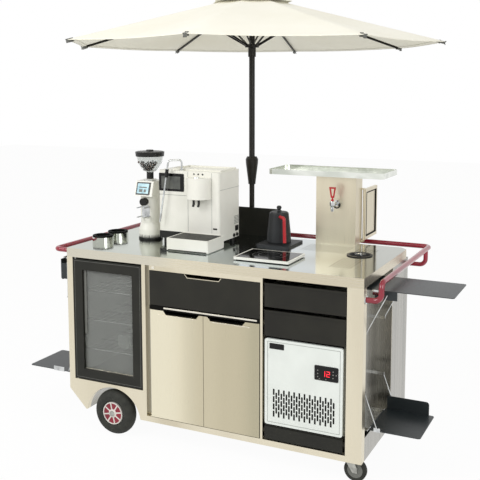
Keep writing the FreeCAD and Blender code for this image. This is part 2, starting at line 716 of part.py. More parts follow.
def notch_front(name, x, z, centre):
    """A flat front with a trapezoid hand notch in its upper edge, and the black lining of the notch."""
    half = "pull_width / 2"
    low = f"{z[1]} - pull_depth"
    corners = [
        (x[0], z[0]),
        (x[1], z[0]),
        (x[1], z[1]),
        (f"{centre} + {half}", z[1]),
        (f"{centre} + {half} - pull_slope", low),
        (f"{centre} - {half} + pull_slope", low),
        (f"{centre} - {half}", z[1]),
        (x[0], z[1]),
    ]
    front = plate(name, "XZ_Plane", corners, "front_thick")
    press(front, x[0], z[0], x[1], f"{low} - 1")
    lining = plate(
        name + "_pull",
        "XZ_Plane",
        [
            (f"{centre} - {half}", z[1]),
            (f"{centre} - {half} + pull_slope", low),
            (f"{centre} + {half} - pull_slope", low),
            (f"{centre} + {half}", z[1]),
            (f"{centre} + {half} - pull_lip", z[1]),
            (f"{centre} + {half} - pull_slope - pull_lip / 2", f"{low} + pull_lip"),
            (f"{centre} - {half} + pull_slope + pull_lip / 2", f"{low} + pull_lip"),
            (f"{centre} - {half} + pull_lip", z[1]),
        ],
        "front_thick + 2",
        y="-2",
    )
    return [front, lining]


def press(front, left, low, right, high):
    """Hollow a front from behind, leaving its face and rim."""
    pan = [
        (f"{left} + skin", f"{low} + skin"),
        (f"{right} - skin", f"{low} + skin"),
        (f"{right} - skin", f"{high} - skin"),
        (f"{left} + skin", f"{high} - skin"),
    ]
    punch(front, "XZ_Plane", lambda sketch: draw_outline(sketch, pan), "-skin")


def drawer_tray(name, x, z, start="front_thick", depth="460"):
    """The open box behind a drawer front."""
    outside = block(name + "_outside", x, (start, f"front_thick + {depth}"), z)
    inner_x = (f"{x[0]} + drawer_wall", f"{x[1]} - drawer_wall")
    inner_y = (f"{start} + drawer_wall", f"front_thick + {depth} - drawer_wall")
    inside = block(name + "_inside", inner_x, inner_y, (f"{z[0]} + drawer_wall", f"{z[1]} + 10"))
    return without(name + "_tray", outside, inside)


def build_drawers():
    """Three drawers on their runners."""
    side = f"({RUNNER_WIDE} + seat)"
    middle_x = (f"{MIDDLE_X} + drawer_gap", f"{MIDDLE_END} - drawer_gap")
    middle_z = ("drawer_row + drawer_gap", f"{UNDER_TOP} - rail_drop - drawer_gap")
    centre = f"({MIDDLE_X} + {MIDDLE_END}) / 2"
    tray_x = (f"{MIDDLE_X} + {side}", f"{MIDDLE_END} - {side}")
    tray = drawer_tray("middle_drawer", tray_x, ("drawer_row + 8", f"{UNDER_TOP} - rail_drop - 40"), "skin")
    node("middle_drawer", *notch_front("middle_front", middle_x, middle_z, centre), tray)
    for name, low, top in (
        ("upper_drawer", "upper_drawer_z", "upper_drawer_top"),
        ("lower_drawer", "lower_drawer_z", "lower_drawer_top"),
    ):
        front_x = (f"{RIGHT_X} + 9", f"{BAY_END} - 1")
        corners = [(front_x[0], low), (front_x[1], low), (front_x[1], top), (front_x[0], top)]
        front = plate(name + "_front", "XZ_Plane", corners, "front_thick")
        press(front, front_x[0], low, front_x[1], f"{top} - 8")
        pull = block(name + "_pull", front_x, ("-3", "4"), (f"{top} - 6 + seat", f"{top} + 3"))
        grip = joined(name + "_grip", front, pull)
        tray_x = (f"{RIGHT_X} + {side}", f"{BAY_END} - {side}")
        tray = drawer_tray(name, tray_x, (f"{low} + 12", f"{top} - 16"))
        node(name, grip, tray)


def build_doors():
    """The two steel doors of the middle cupboard, with hinge pins."""
    middle = f"({MIDDLE_X} + {MIDDLE_END}) / 2"
    door_z = ("bay_floor + drawer_gap", "drawer_row - door_strip - drawer_gap")
    left_x = (f"{MIDDLE_X} + 2 * drawer_gap", f"{middle} - drawer_gap / 2")
    right_x = (f"{middle} + drawer_gap / 2", f"{MIDDLE_END} - 2 * drawer_gap")
    half = "pull_width / 2"
    rows = (
        ("left_door", left_x, f"{middle} - 18 - {half}", f"{left_x[0]} + 6"),
        ("right_door", right_x, f"{middle} + 20 + {half}", f"{right_x[1]} - 6"),
    )
    for name, door_x, centre, pin_x in rows:
        pieces = notch_front(name + "_sheet", door_x, door_z, centre)
        for end, start in (("low", "bay_floor + seat"), ("high", door_z[1])):
            length = "drawer_gap - seat"
            pieces.append(rod(f"{name}_{end}_pin", "z", pin_x, "6", start, "3", length))
        node(name, *pieces)


def build_fridge():
    """The glass-fronted fridge: insulated cabinet with wire shelves, and its hinged door."""
    cabinet_x = ("post_width + 2", "fridge_bay - 22")
    cabinet_y = ("frame_depth + 9", "frame_depth + 9 + fridge_depth")
    cabinet_z = ("deck", f"{UNDER_TOP} - 2")
    outside = block("fridge_outside", cabinet_x, cabinet_y, cabinet_z)
    inner_x = ("post_width + 2 + fridge_wall", "fridge_bay - 22 - fridge_wall")
    inner_z = ("deck + fridge_wall", f"{UNDER_TOP} - 2 - fridge_wall")
    inner_y = ("frame_depth - 1", "frame_depth + 9 + fridge_depth - fridge_wall")
    inside = block("fridge_inside", inner_x, inner_y, inner_z)
    pieces = [without("fridge_shell", outside, inside)]
    for level in range(1, 4):
        height = f"deck + {level} * (worktop_height - deck) / 4.4"
        pieces.append(wire_shelf(f"wire_shelf_{level}", inner_x,
                                 ("frame_depth + 24", "frame_depth + 460"), height))
    node("fridge_cabinet", *pieces)
    build_fridge_door()


def wire_shelf(name, x, y, z):
    """A wire shelf: three cross wires under seven long wires, with a front and back wire."""
    wide = f"({x[1]}) - ({x[0]})"
    deep = f"({y[1]}) - ({y[0]})"
    wires = []
    for number in range(4):
        place = f"{y[0]} + fridge_shelf + {number} * ({deep} - 2 * fridge_shelf) / 3"
        wires.append(block(f"{name}_cross_{number}", x,
                           (f"{place} - fridge_shelf", f"{place} + fridge_shelf"),
                           (f"{z} - 2 * fridge_shelf", z)))
    for number in range(9):
        place = f"{x[0]} + {number + 1} * ({wide}) / 10"
        wires.append(block(f"{name}_long_{number}",
                           (f"{place} - fridge_shelf / 2", f"{place} + fridge_shelf / 2"),
                           y, (f"{z} - fridge_shelf / 2", f"{z} + fridge_shelf / 2")))
    return joined(name, *wires)


def build_fridge_door():
    """The black framed door, its double glazing and its hinge pins."""
    x0, z0 = "fridge_door_x", "fridge_door_z"
    x1, z1 = "fridge_door_x + fridge_door_width", "fridge_door_z + fridge_door_height"
    thick = "frame_depth + 4"
    frame = plate("door_frame", "XZ_Plane", [(x0, z0), (x1, z0), (x1, z1), (x0, z1)], thick)
    window = frame_outline(x0, z0, x1, z1, "fridge_frame")
    punch(frame, "XZ_Plane", lambda sketch: draw_outline(sketch, window))
    rebate = frame_outline(x0, z0, x1, z1, "fridge_frame - 12")
    punch(frame, "XZ_Plane", lambda sketch: draw_outline(sketch, rebate), f"glass - ({thick})")
    pins = [
        rod("door_low_pin", "z", f"{x0} + 11", "5", "deck + seat", "4", f"{z0} - deck - seat"),
        rod("door_high_pin", "z", f"{x0} + 11", "5", z1, "4", f"{UNDER_TOP} - ({z1}) - seat"),
    ]
    node("fridge_door_frame", frame, *pins)
    inset = "fridge_frame - 12 + seat"
    pane = block(
        "fridge_pane",
        (f"{x0} + {inset}", f"{x1} - ({inset})"),
        (f"{thick} - glass", thick),
        (f"{z0} + {inset}", f"{z1} - ({inset})"),
    )
    node("fridge_door_glass", pane)


def frame_outline(x0, z0, x1, z1, inset):
    """A rectangle set in from another by a margin."""
    return [
        (f"{x0} + {inset}", f"{z0} + {inset}"),
        (f"{x1} - ({inset})", f"{z0} + {inset}"),
        (f"{x1} - ({inset})", f"{z1} - ({inset})"),
        (f"{x0} + {inset}", f"{z1} - ({inset})"),
    ]


def build_ice_maker():
    """The ice maker on its slide-out tray, with its slotted front."""
    left = f"{RIGHT_X} + {RUNNER_WIDE} + seat"
    right = f"{BAY_END} - {RUNNER_WIDE} - seat"
    middle = f"(({left}) + ({right})) / 2"
    case_x = (f"{middle} - ice_width / 2", f"{middle} + ice_width / 2")
    case_z = ("ice_front_z", "ice_front_z + ice_height")
    case = rounded_block("ice_case", case_x, ("14", "14 + ice_depth"), case_z, "8", "y")
    inner = [(f"{low} + fridge_wall", f"{high} - fridge_wall")
             for low, high in (case_x, ("14", "14 + ice_depth"), case_z)]
    case = without("ice_housing", case, block("ice_chamber", *inner))
    tray = block("ice_tray", (left, right), ("6", "14 + ice_depth"), ("ice_front_z - 6", "ice_front_z"))
    tray_front = block("ice_tray_front", (left, right), ("2", "14"), ("bay_floor + 6", "ice_front_z - 6"))
    pieces = [case, joined("ice_tray_weld", tray, tray_front)]
    for side, start in (("left", left), ("right", f"{right} - 6")):
        span = (start, f"{start} + 6")
        pieces.append(block(f"ice_slide_{side}", span, ("14", "14 + ice_depth"),
                            ("bay_floor + 20", "ice_front_z - 6")))
    node("ice_maker_cabinet", *pieces)
    build_ice_front(case_x, case_z)


def build_ice_front(case_x, case_z):
    """The slotted front panel, with staggered columns of upright vent slots and the control panel."""
    front_x = (f"{case_x[0]} + 2", f"{case_x[1]} - 2")
    wide = f"({front_x[1]}) - ({front_x[0]})"
    tall = "ice_height - 12"
    corners = [("0", "0"), (wide, "0"), (wide, tall), ("0", tall)]
    panel = plate("ice_panel", "XZ_Plane", corners, "14", front_x[0], "0", f"{case_z[0]} + 6")
    round_edges(panel, Vector(0, 1, 0), "10")
    first_x = f"(({wide}) - (vent_columns - 0.5) * vent_pitch) / 2"
    for column in range(2):
        start = f"{first_x} + {column} * vent_pitch / 2"
        low = f"38 + {column} * vent_row_pitch / 2"
        slot = rectangle(start, low, "vent_slot", "vent_height")
        pocket = punch(panel, "XZ_Plane", lambda sketch, slot=slot: draw_outline(sketch, slot))
        rows = panel.newObject("PartDesign::LinearPattern", f"vent_grid_{column}")
        rows.Originals = [pocket]
        rows.Direction = (pocket.Profile[0], ["H_Axis"])
        rows.Direction2 = (pocket.Profile[0], ["V_Axis"])
        tie(rows, Length="(vent_columns - 1) * vent_pitch", Occurrences="vent_columns")
        tie(rows, Length2=f"(vent_rows - 1 - {column}) * vent_row_pitch",
            Occurrences2=f"vent_rows - {column}")
        panel.Tip = rows
        DOC.recompute()
    control = rounded_block(
        "ice_control",
        (f"{case_x[1]} - 128", f"{case_x[1]} - 21"),
        ("-2", "0"),
        ("ice_front_z + 243", "ice_front_z + 307"),
        "5",
        "y",
    )
    node("ice_maker_front", panel, control)


def wheel_pieces(name, x, y, z):
    """A pneumatic wheel about a Y axis: torus tyre, spoked rim and the coloured disc behind the spokes."""
    ring = turn(DOC.addObject("Part::Torus", name + "_ring"), "y")
    tie(ring, Radius1="wheel_radius - tyre_section", Radius2="tyre_section")
    seat(ring, x, y, z)
    seat_hole = rod(name + "_bead", "y", x, f"{y} - tyre_section", z, "rim_radius + seat", "2 * tyre_section")
    tyre = without(name + "_tyre", ring, seat_hole)
    half = "rim_width / 2"
    rim_outline = [
        ("axle_radius + seat", f"-{half} - 6"),
        ("17", f"-{half} - 6"),
        ("20", f"-{half} + 4"),
        ("rim_radius - 8", f"-{half} + 4"),
        ("rim_radius - 4", f"-{half}"),
        ("rim_radius", f"-{half}"),
        ("rim_radius", half),
        ("rim_radius - 4", half),
        ("rim_radius - 8", f"{half} - 4"),
        ("20", f"{half} - 4"),
        ("17", f"{half} + 6"),
        ("axle_radius + seat", f"{half} + 6"),
    ]
    rim = turned(name + "_rim", rim_outline, x, y, z, "y")
    window = [("23", "2.5"), ("rim_radius - 9", "2.5"), ("rim_radius - 12", "15"), ("27", "7")]
    pocket = punch(rim, "XY_Plane", lambda sketch: draw_outline(sketch, window), f"-{half} - 8")
    return [tyre, repeat_round(rim, pocket, "spokes")]


def build_wheels():
    """Two pneumatic wheels on the axle under the fridge."""
    for name, place in (("front_wheel", "wheel_inset"), ("rear_wheel", "cart_depth - wheel_inset")):
        node(name, *wheel_pieces(name, "wheel_x", place, "wheel_radius"))


def build_underframe():
    """The axle with its two hangers, and the caster plates."""
    cap_y = "wheel_inset - rim_width / 2 - 6 - seat - 9"
    axle = rod("axle", "y", "wheel_x", cap_y, "wheel_radius", "axle_radius", f"cart_depth - 2 * ({cap_y})")
    caps = [
        rod("axle_cap_front", "y", "wheel_x", cap_y, "wheel_radius", "13", "9"),
        rod("axle_cap_rear", "y", "wheel_x", f"cart_depth - ({cap_y}) - 9", "wheel_radius", "13", "9"),
    ]
    pieces = [joined("axle_with_caps", axle, *caps)]
    for name, place in (("front_hanger", "90"), ("rear_hanger", "cart_depth - 98")):
        leg = block(name + "_leg", ("wheel_x - 30", "wheel_x + 30"), (place, f"{place} + 8"), ("90", "deck"))
        arch = rod(name + "_arch", "y", "wheel_x", f"{place} - 1", "arch_centre", "arch_radius", "10")
        shaped = DOC.addObject("Part::Common", name + "_shaped")
        shaped.Base = leg
        shaped.Tool = arch
        hole = rod(name + "_hole", "y", "wheel_x", f"{place} - 1", "wheel_radius", "axle_radius + 0.1", "10")
        pieces.append(without(name, shaped, hole))
    for name, place in CASTERS:
        centre_x = "cart_length - caster_inset_x"
        span_x = (f"{centre_x} - 34", f"{centre_x} + 34")
        span_y = (f"{place} - 32", f"{place} + 32")
        pieces.append(block(name + "_plate", span_x, span_y, ("bay_floor - 4", "bay_floor")))
    node("underframe", *pieces)


CASTERS = (("front_caster", "caster_inset_y"), ("rear_caster", "cart_depth - caster_inset_y"))


def build_casters():
    """Two swivel casters: fork with raceway, and wheel."""
    centre_x = "cart_length - caster_inset_x"
    wheel_x = f"{centre_x} + caster_trail"
    for name, place in CASTERS:
        head = rod(name + "_head", "z", centre_x, place, "bay_floor - 22", "26", "18 - seat")
        bridge_x = (f"{centre_x} - 20", f"{centre_x} + 22")
        inner = "caster_width / 2 + 1"
        outer = "caster_width / 2 + 4"
        bridge = block(name + "_bridge", bridge_x, (f"{place} - {outer}", f"{place} + {outer}"),
                       ("bay_floor - 25", "bay_floor - 22"))
        legs = []
        for side, near, far in (("near", f"{place} - ({outer})", f"{place} - ({inner})"),
                                ("far", f"{place} + {inner}", f"{place} + {outer}")):
            outline = [
                (f"{centre_x} - 20", "bay_floor - 22"),
                (f"{centre_x} + 22", "bay_floor - 22"),
                (f"{wheel_x} + 11", "caster_radius + 10"),
                (f"{wheel_x} + 11", "caster_radius - 11"),
                (f"{wheel_x} - 9", "caster_radius - 11"),
            ]
            legs.append(plate(f"{name}_{side}_leg", "XZ_Plane", outline, f"({far}) - ({near})", y=near))
        axle = rod(name + "_axle", "y", wheel_x, f"{place} - {outer} - 3", "caster_radius", "5",
                   f"2 * ({outer}) + 6")
        node(name + "_fork", joined(name + "_fork_weld", head, bridge, *legs, axle))
        tread = [
            ("5 + seat", "-caster_width / 2"),
            ("14", "-caster_width / 2"),
            ("16", "2 - caster_width / 2"),
            ("caster_radius - 16", "2 - caster_width / 2"),
            ("caster_radius - 14", "1 - caster_width / 2"),
            ("caster_radius - 4", "2 - caster_width / 2"),
            ("caster_radius", "5 - caster_width / 2"),
            ("caster_radius", "caster_width / 2 - 5"),
            ("caster_radius - 4", "caster_width / 2 - 2"),
            ("caster_radius - 14", "caster_width / 2 - 1"),
            ("caster_radius - 16", "caster_width / 2 - 2"),
            ("16", "caster_width / 2 - 2"),
            ("14", "caster_width / 2"),
            ("5 + seat", "caster_width / 2"),
        ]
        node(name + "_wheel", turned(name + "_tread", tread, wheel_x, place, "caster_radius", "y"))


def build_handles():
    """The red tube handle round both ends and the back, with its legs and flanges."""
    right = "cart_length + handle_out"
    left = "-left_handle_out"
    rear = "cart_depth + rail_setback"
    leg_y = "corner_post / 2"
    leg_z = "worktop_height - 92"
    path = [
        ("cart_length", leg_y, leg_z),
        (right, leg_y, leg_z),
        (right, leg_y, "handle_z"),
        (right, rear, "handle_z"),
        (left, rear, "handle_z"),
        (left, leg_y, "handle_z"),
        ("0", leg_y, "handle_z"),
    ]
    pieces = [bent_tube("handle_tube", path, "tube_bend", "tube_radius")]
    flange = rod("right_flange", "x", "cart_length", leg_y, leg_z, "tube_radius + 6", "5")
    pieces.append(flange)
    for name, bar_x, inward in (("right", right, -1), ("left", left, 1)):
        leg_path = [
            (bar_x, "cart_depth + 80", "handle_z"),
            (bar_x, "cart_depth + 80", leg_z),
            (f"{bar_x} + {inward} * 150", "cart_depth + 80", leg_z),
            (f"{bar_x} + {inward} * 150", "cart_depth", leg_z),
        ]
        pieces.append(bent_tube(name + "_rear_leg", leg_path, "tube_bend", "tube_radius - 1"))
    node("handle_rails", joined("handle_weld", *pieces))


def mirror_x(place, outward):
    """A place along X measured outwards from one end of the cart."""
    return f"cart_length + ({place})" if outward > 0 else f"-({place})"


def span_out(near, far, outward):
    """A span along X measured outwards from one end of the cart."""
    if outward > 0:
        return (f"cart_length + ({near})", f"cart_length + ({far})")
    return (f"-({far})", f"-({near})")


def shelf_plate(name, hinge, reach, near_y, height, outward):
    """A folding shelf plate with rounded outer corners and its hinge barrel, deployed."""
    tip = f"({hinge}) + ({reach})"
    start = mirror_x(f"({hinge}) + hinge_radius + seat", outward)
    end = mirror_x(tip, outward)
    far_y = f"({near_y}) + shelf_depth"
    corners = [(start, near_y), (end, near_y), (end, far_y), (start, far_y)]
    body = plate(name + "_plate", "XY_Plane", corners, "shelf_thick", z=height)
    outer = value(end)
    round_edges(body, Vector(0, 0, 1), "12", lambda middle: abs(middle.x - outer) < 1)
    barrel = rod(name + "_barrel", "y", mirror_x(hinge, outward), f"{near_y} + 30", height,
                 "hinge_radius", "shelf_depth - 60")
    leaf = block(name + "_leaf", span_out(hinge, f"{hinge} + 3 * hinge_radius", outward),
                 (f"{near_y} + 30", f"{far_y} - 30"), (f"{height} - shelf_thick", height))
    return joined(name + "_sheet", body, barrel, leaf)


def build_shelves():
    """Four folding side shelves: three deployed and the upper left one hanging down."""
    under = "upper_shelf_z - fin_height"
    fin_y = ("shelf_y", "shelf_y + shelf_thick")
    upper = shelf_plate("right_upper", "-upper_hinge_in", "upper_shelf_reach", "shelf_y", "upper_shelf_z", 1)
    fin = block("right_upper_fin", span_out("24", "24 + fin_length", 1), fin_y, (under, "upper_shelf_z"))
    lug = block("right_upper_lug", span_out("14", "40", 1), ("shelf_y - 3", "shelf_y"),
                ("upper_shelf_z - 18", "upper_shelf_z + shelf_thick"))
    node("right_upper_shelf", joined("right_upper_weld", upper, fin), lug)
    lower = shelf_plate("right_lower", "lower_hinge_out", "lower_shelf_reach", "shelf_y", "lower_shelf_z", 1)
    fin = stop_fin("right_lower", "lower_hinge_out", "shelf_y + shelf_depth", 1)
    lug = block("right_lower_lug", span_out("30", "58", 1), ("shelf_y - 3", "shelf_y"),
                ("lower_shelf_z - 2", "lower_shelf_z + 16"))
    node("right_lower_shelf", joined("right_lower_weld", lower, fin), lug)
    left = shelf_plate("left_lower", "left_low_out", "left_lower_reach", "left_low_y", "lower_shelf_z", -1)
    lug = block("left_lower_lug", span_out("110", "176", -1), ("left_low_y - 3", "left_low_y"),
                ("lower_shelf_z - 2", "lower_shelf_z + 20"))
    node("left_lower_shelf", left, lug)
    build_stowed_shelf()


def stop_fin(name, hinge, far, outward):
    """The upright fin at the far edge of a lower shelf, with a rounded outer corner."""
    low, high = span_out(f"{hinge} + 8", f"{hinge} + 8 + tall_fin_length", outward)
    corners = [(low, "lower_shelf_z"), (high, "lower_shelf_z"), (high, "lower_shelf_z + tall_fin"),
               (low, "lower_shelf_z + tall_fin")]
    body = plate(name + "_fin", "XZ_Plane", corners, "shelf_thick", y=f"{far} - shelf_thick")
    outer = value(high if outward > 0 else low)
    top = value("lower_shelf_z") + 1
    return round_edges(body, Vector(0, 1, 0), "14",
                       lambda middle: abs(middle.x - outer) < 1 and middle.z > top)


def build_stowed_shelf():
    """The upper left shelf, hanging down on its hinge with its fin towards the wall."""
    face = "-left_hinge_out"
    far_y = "left_shelf_y + shelf_depth"
    low = "upper_shelf_z - left_upper_reach"
    top = "upper_shelf_z - hinge_radius"
    corners = [("left_shelf_y", low), (far_y, low), (far_y, top), ("left_shelf_y", top)]
    body = plate("left_upper_plate", "YZ_Plane", corners, "shelf_thick", x=f"{face} - shelf_thick")
    outer = value(low)
    round_edges(body, Vector(1, 0, 0), "12", lambda middle: abs(middle.z - outer) < 1)
    barrel = rod("left_upper_barrel", "y", face, "left_shelf_y + 30", "upper_shelf_z", "hinge_radius",
                 "shelf_depth - 60")
    leaf = block("left_upper_leaf", (face, f"{face} + shelf_thick"), ("left_shelf_y + 30", f"{far_y} - 30"),
                 ("upper_shelf_z - 3 * hinge_radius", "upper_shelf_z"))
    fin = block("left_upper_fin", (face, f"{face} + fin_height"),
                ("left_shelf_y", "left_shelf_y + shelf_thick"),
                (f"{low} + 6", "upper_shelf_z - 24"))
    node("left_upper_shelf", joined("left_upper_weld", body, barrel, leaf, fin))


def hinge_knuckles(name, hinge, near, height, outward, wall):
    """Fixed bracket: two knuckles beside the hinge barrel, on an arm to the wall."""
    pieces = []
    for end, place in (("near", f"{near} + 18"), ("far", f"{near} + shelf_depth - 30 + seat")):
        length = "12 - seat"
        knuckle = rod(f"{name}_{end}_knuckle", "y", mirror_x(hinge, outward), place, height,
                      "hinge_radius", length)
        arm = block(f"{name}_{end}_arm", span_out(wall, hinge, outward), (place, f"{place} + {length}"),
                    (f"{height} - hinge_radius", height))
        pieces.append(joined(f"{name}_{end}_bracket", knuckle, arm))
    return pieces


def build_shelf_brackets():
    """Fixed hinge brackets of the shelves, and the wall lugs of the stays."""
    recess = "-recess_depth"
    pieces = hinge_knuckles("right_upper", "-upper_hinge_in", "shelf_y", "upper_shelf_z", 1, recess)
    pieces += hinge_knuckles("right_lower", "lower_hinge_out", "shelf_y", "lower_shelf_z", 1, recess)
    pieces += hinge_knuckles("left_lower", "left_low_out", "left_low_y", "lower_shelf_z", -1, "0")
    pieces += hinge_knuckles("left_upper", "left_hinge_out", "left_shelf_y", "upper_shelf_z", -1, "0")
    ledge_y = ("shelf_y", "shelf_y + shelf_depth")
    ledge_z = ("lower_shelf_z - hinge_radius - shelf_thick", "lower_shelf_z - hinge_radius")
    pieces.append(block("lower_ledge", (RECESS_X, "cart_length + 1"), ledge_y, ledge_z))
    for name, _, near, (foot, foot_z), _, outward, wall in STAYS:
        for end, place, back in stay_planes(near):
            low, high = (back, f"{back} + 3") if end == "near" else (f"{back} - 3", back)
            pieces.append(block(f"{name}_{end}_lug", span_out(wall, f"{foot} + 5", outward), (low, high),
                                (f"{foot_z} - 7", f"{foot_z} + 7")))
    node("shelf_brackets", *pieces)


def stay_planes(near):
    """The two Y planes of a pair of stays, and the face of each one's wall lug."""
    near_plane = f"{near} - stay_gap"
    far_plane = f"{near} + shelf_depth + stay_gap"
    return (
        ("near", near_plane, f"{near_plane} + stay_radius + seat"),
        ("far", far_plane, f"{far_plane} - stay_radius - seat"),
    )


STAYS = (
    ("right_upper", "right_upper_shelf", "shelf_y", ("-10", "650"), ("80", "upper_shelf_z - 12"), 1,
     "-recess_depth"),
    ("right_lower", "right_lower_shelf", "shelf_y", ("-10", "390"), ("46", "lower_shelf_z + 12"), 1,
     "-recess_depth"),
    ("left_lower", "left_lower_shelf", "left_low_y", ("12", "390"), ("76", "lower_shelf_z + 12"), -1, "0"),
    ("left_upper", "left_upper_shelf", "left_shelf_y", ("12", "650"), ("12", "upper_shelf_z - 14"), -1, "0"),
)


def slanted_rod(name, start, finish, y, radius):
    """A round bar in an upright plane between two (x, z) places."""
    run_x = f"({finish[0]} - ({start[0]}))"
    run_z = f"({finish[1]} - ({start[1]}))"
    item = DOC.addObject("Part::Cylinder", name)
    item.Placement = FreeCAD.Placement(Vector(), FreeCAD.Rotation(Vector(0, 1, 0), 30))
    tie(item, Radius=radius, Height=f"sqrt({run_x} * {run_x} + {run_z} * {run_z})")
    item.setExpression("Placement.Rotation.Angle", formula(f"atan2({run_x}; {run_z})"))
    return seat(item, start[0], y, start[1])


def build_stays():
    """Four pairs of stay rods, each pair hinged at the wall."""
    for name, _, near, foot, head, outward, _ in STAYS:
        rods = []
        start = (mirror_x(foot[0], outward), foot[1])
        finish = (mirror_x(head[0], outward), head[1])
        for end, plane, _ in stay_planes(near):
            bar = slanted_rod(f"{name}_{end}_bar", start, finish, plane, "stay_radius")
            eye = rod(f"{name}_{end}_eye", "y", start[0], f"{plane} - stay_radius + 1", start[1],
                      "2 * stay_radius", "2 * stay_radius - 2")
            rods.append(joined(f"{name}_{end}_stay", bar, eye))
        node(name + "_stays", *rods)


def hub(name, radius, bore, low, high, slot_offset, slot_wide, height):
    """A hub with one slot for each umbrella bar and a pivot pin across each slot."""
    outline = [(bore, low), (f"{radius} + 8", low), (f"{radius} + 8", high), (bore, high)]
    body = turned(name, outline, "mast_x", MAST_Y, height)
    near = f"{slot_offset} - ({slot_wide}) / 2"
    slot = rectangle(f"{radius} - 8", near, "18", slot_wide)
    pocket = punch(body, "XY_Plane", lambda sketch: draw_outline(sketch, slot), f"{low} - 1")
    repeat_round(body, pocket, "8")
    body.setExpression("Placement.Rotation.Angle", formula("rib_phase"))
    pins = []
    for number in range(RIBS):
        angle = f"(rib_phase + {number * 360 / RIBS})"
        reach = f"({slot_offset} - ({slot_wide}) / 2 - 2)"
        pin = DOC.addObject("Part::Cylinder", f"{name}_pin_{number}")
        tie(pin, Radius="pivot_radius", Height=f"{slot_wide} + 4")
        spot = value(angle)
        radial = Vector(math.cos(math.radians(spot)), math.sin(math.radians(spot)), 0)
        tangent = Vector(-radial.y, radial.x, 0)
        pin.Placement = FreeCAD.Placement(Vector(), FreeCAD.Rotation(Vector(0, 0, 1), tangent))
        seat(
            pin,
            f"mast_x + {radius} * cos({angle}) - {reach} * sin({angle})",
            f"{MAST_Y} + {radius} * sin({angle}) + {reach} * cos({angle})",
            height,
        )
        pins.append(pin)
    return joined(name + "_with_pins", body, *pins)


RIBS = 8
STRETCHER_OFFSET = "(rib_thick / 2 + play + stretcher_thick / 2)"
JOINT_X = "(crown_radius + stretcher_reach * cos(rib_droop))"
JOINT_Z = "(-stretcher_reach * sin(rib_droop))"
STRETCH_X = f"({JOINT_X} - runner_radius)"
STRETCH_Z = f"({JOINT_Z} + runner_drop)"
STRETCH_LONG = f"sqrt({STRETCH_X} * {STRETCH_X} + {STRETCH_Z} * {STRETCH_Z})"


def build_umbrella_mast():
    """Lower and upper pole, tapered joint sleeve, slotted crown with finial, and rear brackets."""
    lower = rod("lower_pole", "z", "mast_x", MAST_Y, "300", "lower_pole_radius", "sleeve_bottom + 20 - 300")
    upper = rod("upper_pole", "z", "mast_x", MAST_Y, "sleeve_bottom + 21", "mast_radius",
                "crown_height + 9 - sleeve_bottom - 21")
    sleeve_outline = [
        ("mast_radius + 0.1", "21"),
        ("mast_radius + 0.1", "sleeve_height"),
        ("sleeve_radius - 7", "sleeve_height"),
        ("sleeve_radius", "sleeve_height - 14"),
        ("sleeve_radius - 1", "sleeve_height - 34"),
        ("mast_radius + 5", "14"),
        ("mast_radius + 4", "0"),
        ("lower_pole_radius + 0.1", "0"),
        ("lower_pole_radius + 0.1", "21"),
    ]
    sleeve = turned("joint_sleeve", sleeve_outline, "mast_x", MAST_Y, "sleeve_bottom")
    crown = hub("crown", "crown_radius", "mast_radius + 0.1", "-9", "9", "0", "rib_thick + 2 * play",
                "crown_height")
    plate_rod = rod("crown_plate", "z", "mast_x", MAST_Y, "crown_height + 9", "crown_radius + 1",
                    "rib_tall / 2 + 5.7")
    cap = rod("crown_cap", "z", "mast_x", MAST_Y, "crown_height + 9", "mast_radius + 4", "27")
    finial = cone("finial", "z", "mast_x", MAST_Y, "crown_height + 36", "mast_radius - 2", "5", "34")
    pieces = [lower, upper, sleeve, joined("crown_top", crown, plate_rod, cap, finial)]
    for name, height in (("low", "330"), ("high", "800")):
        clamp_x = ("mast_x - 28", "mast_x + 28")
        clamp = block(f"{name}_clamp", clamp_x, ("cart_depth", f"{MAST_Y} + 22"), (height, f"{height} + 36"))
        hole = rod(f"{name}_clamp_hole", "z", "mast_x", MAST_Y, f"{height} - 1",
                   "lower_pole_radius + 0.1", "38")
        pieces.append(without(f"{name}_bracket", clamp, hole))
    node("umbrella_mast", *pieces)


def build_runner():
    """The sliding runner with its ring of stretcher slots."""
    height = "crown_height - runner_drop"
    ring = hub("runner_ring", "runner_radius", "mast_radius + play", "-8", "8", STRETCHER_OFFSET,
               "stretcher_thick + 2 * play", height)
    outside = rod("runner_tube_out", "z", "mast_x", MAST_Y, f"{height} - 56", "mast_radius + 5", "49")
    inside = rod("runner_tube_in", "z", "mast_x", MAST_Y, f"{height} - 57", "mast_radius + play", "80")
    node("umbrella_runner", joined("runner_weld", ring, without("runner_tube", outside, inside)))


def bar_corners(root, direction, back, length, tall):
    """Corners of a straight bar from behind its pivot to its far end, in the plane of the rib."""
    corners = []
    for along, across in ((f"-{back}", -1), (length, -1), (length, 1), (f"-{back}", 1)):
        half = f"{across} * {tall} / 2"
        corners.append((
            f"{root[0]} + ({along}) * ({direction[0]}) - ({half}) * ({direction[1]})",
            f"{root[1]} + ({along}) * ({direction[1]}) + ({half}) * ({direction[0]})",
        ))
    return corners


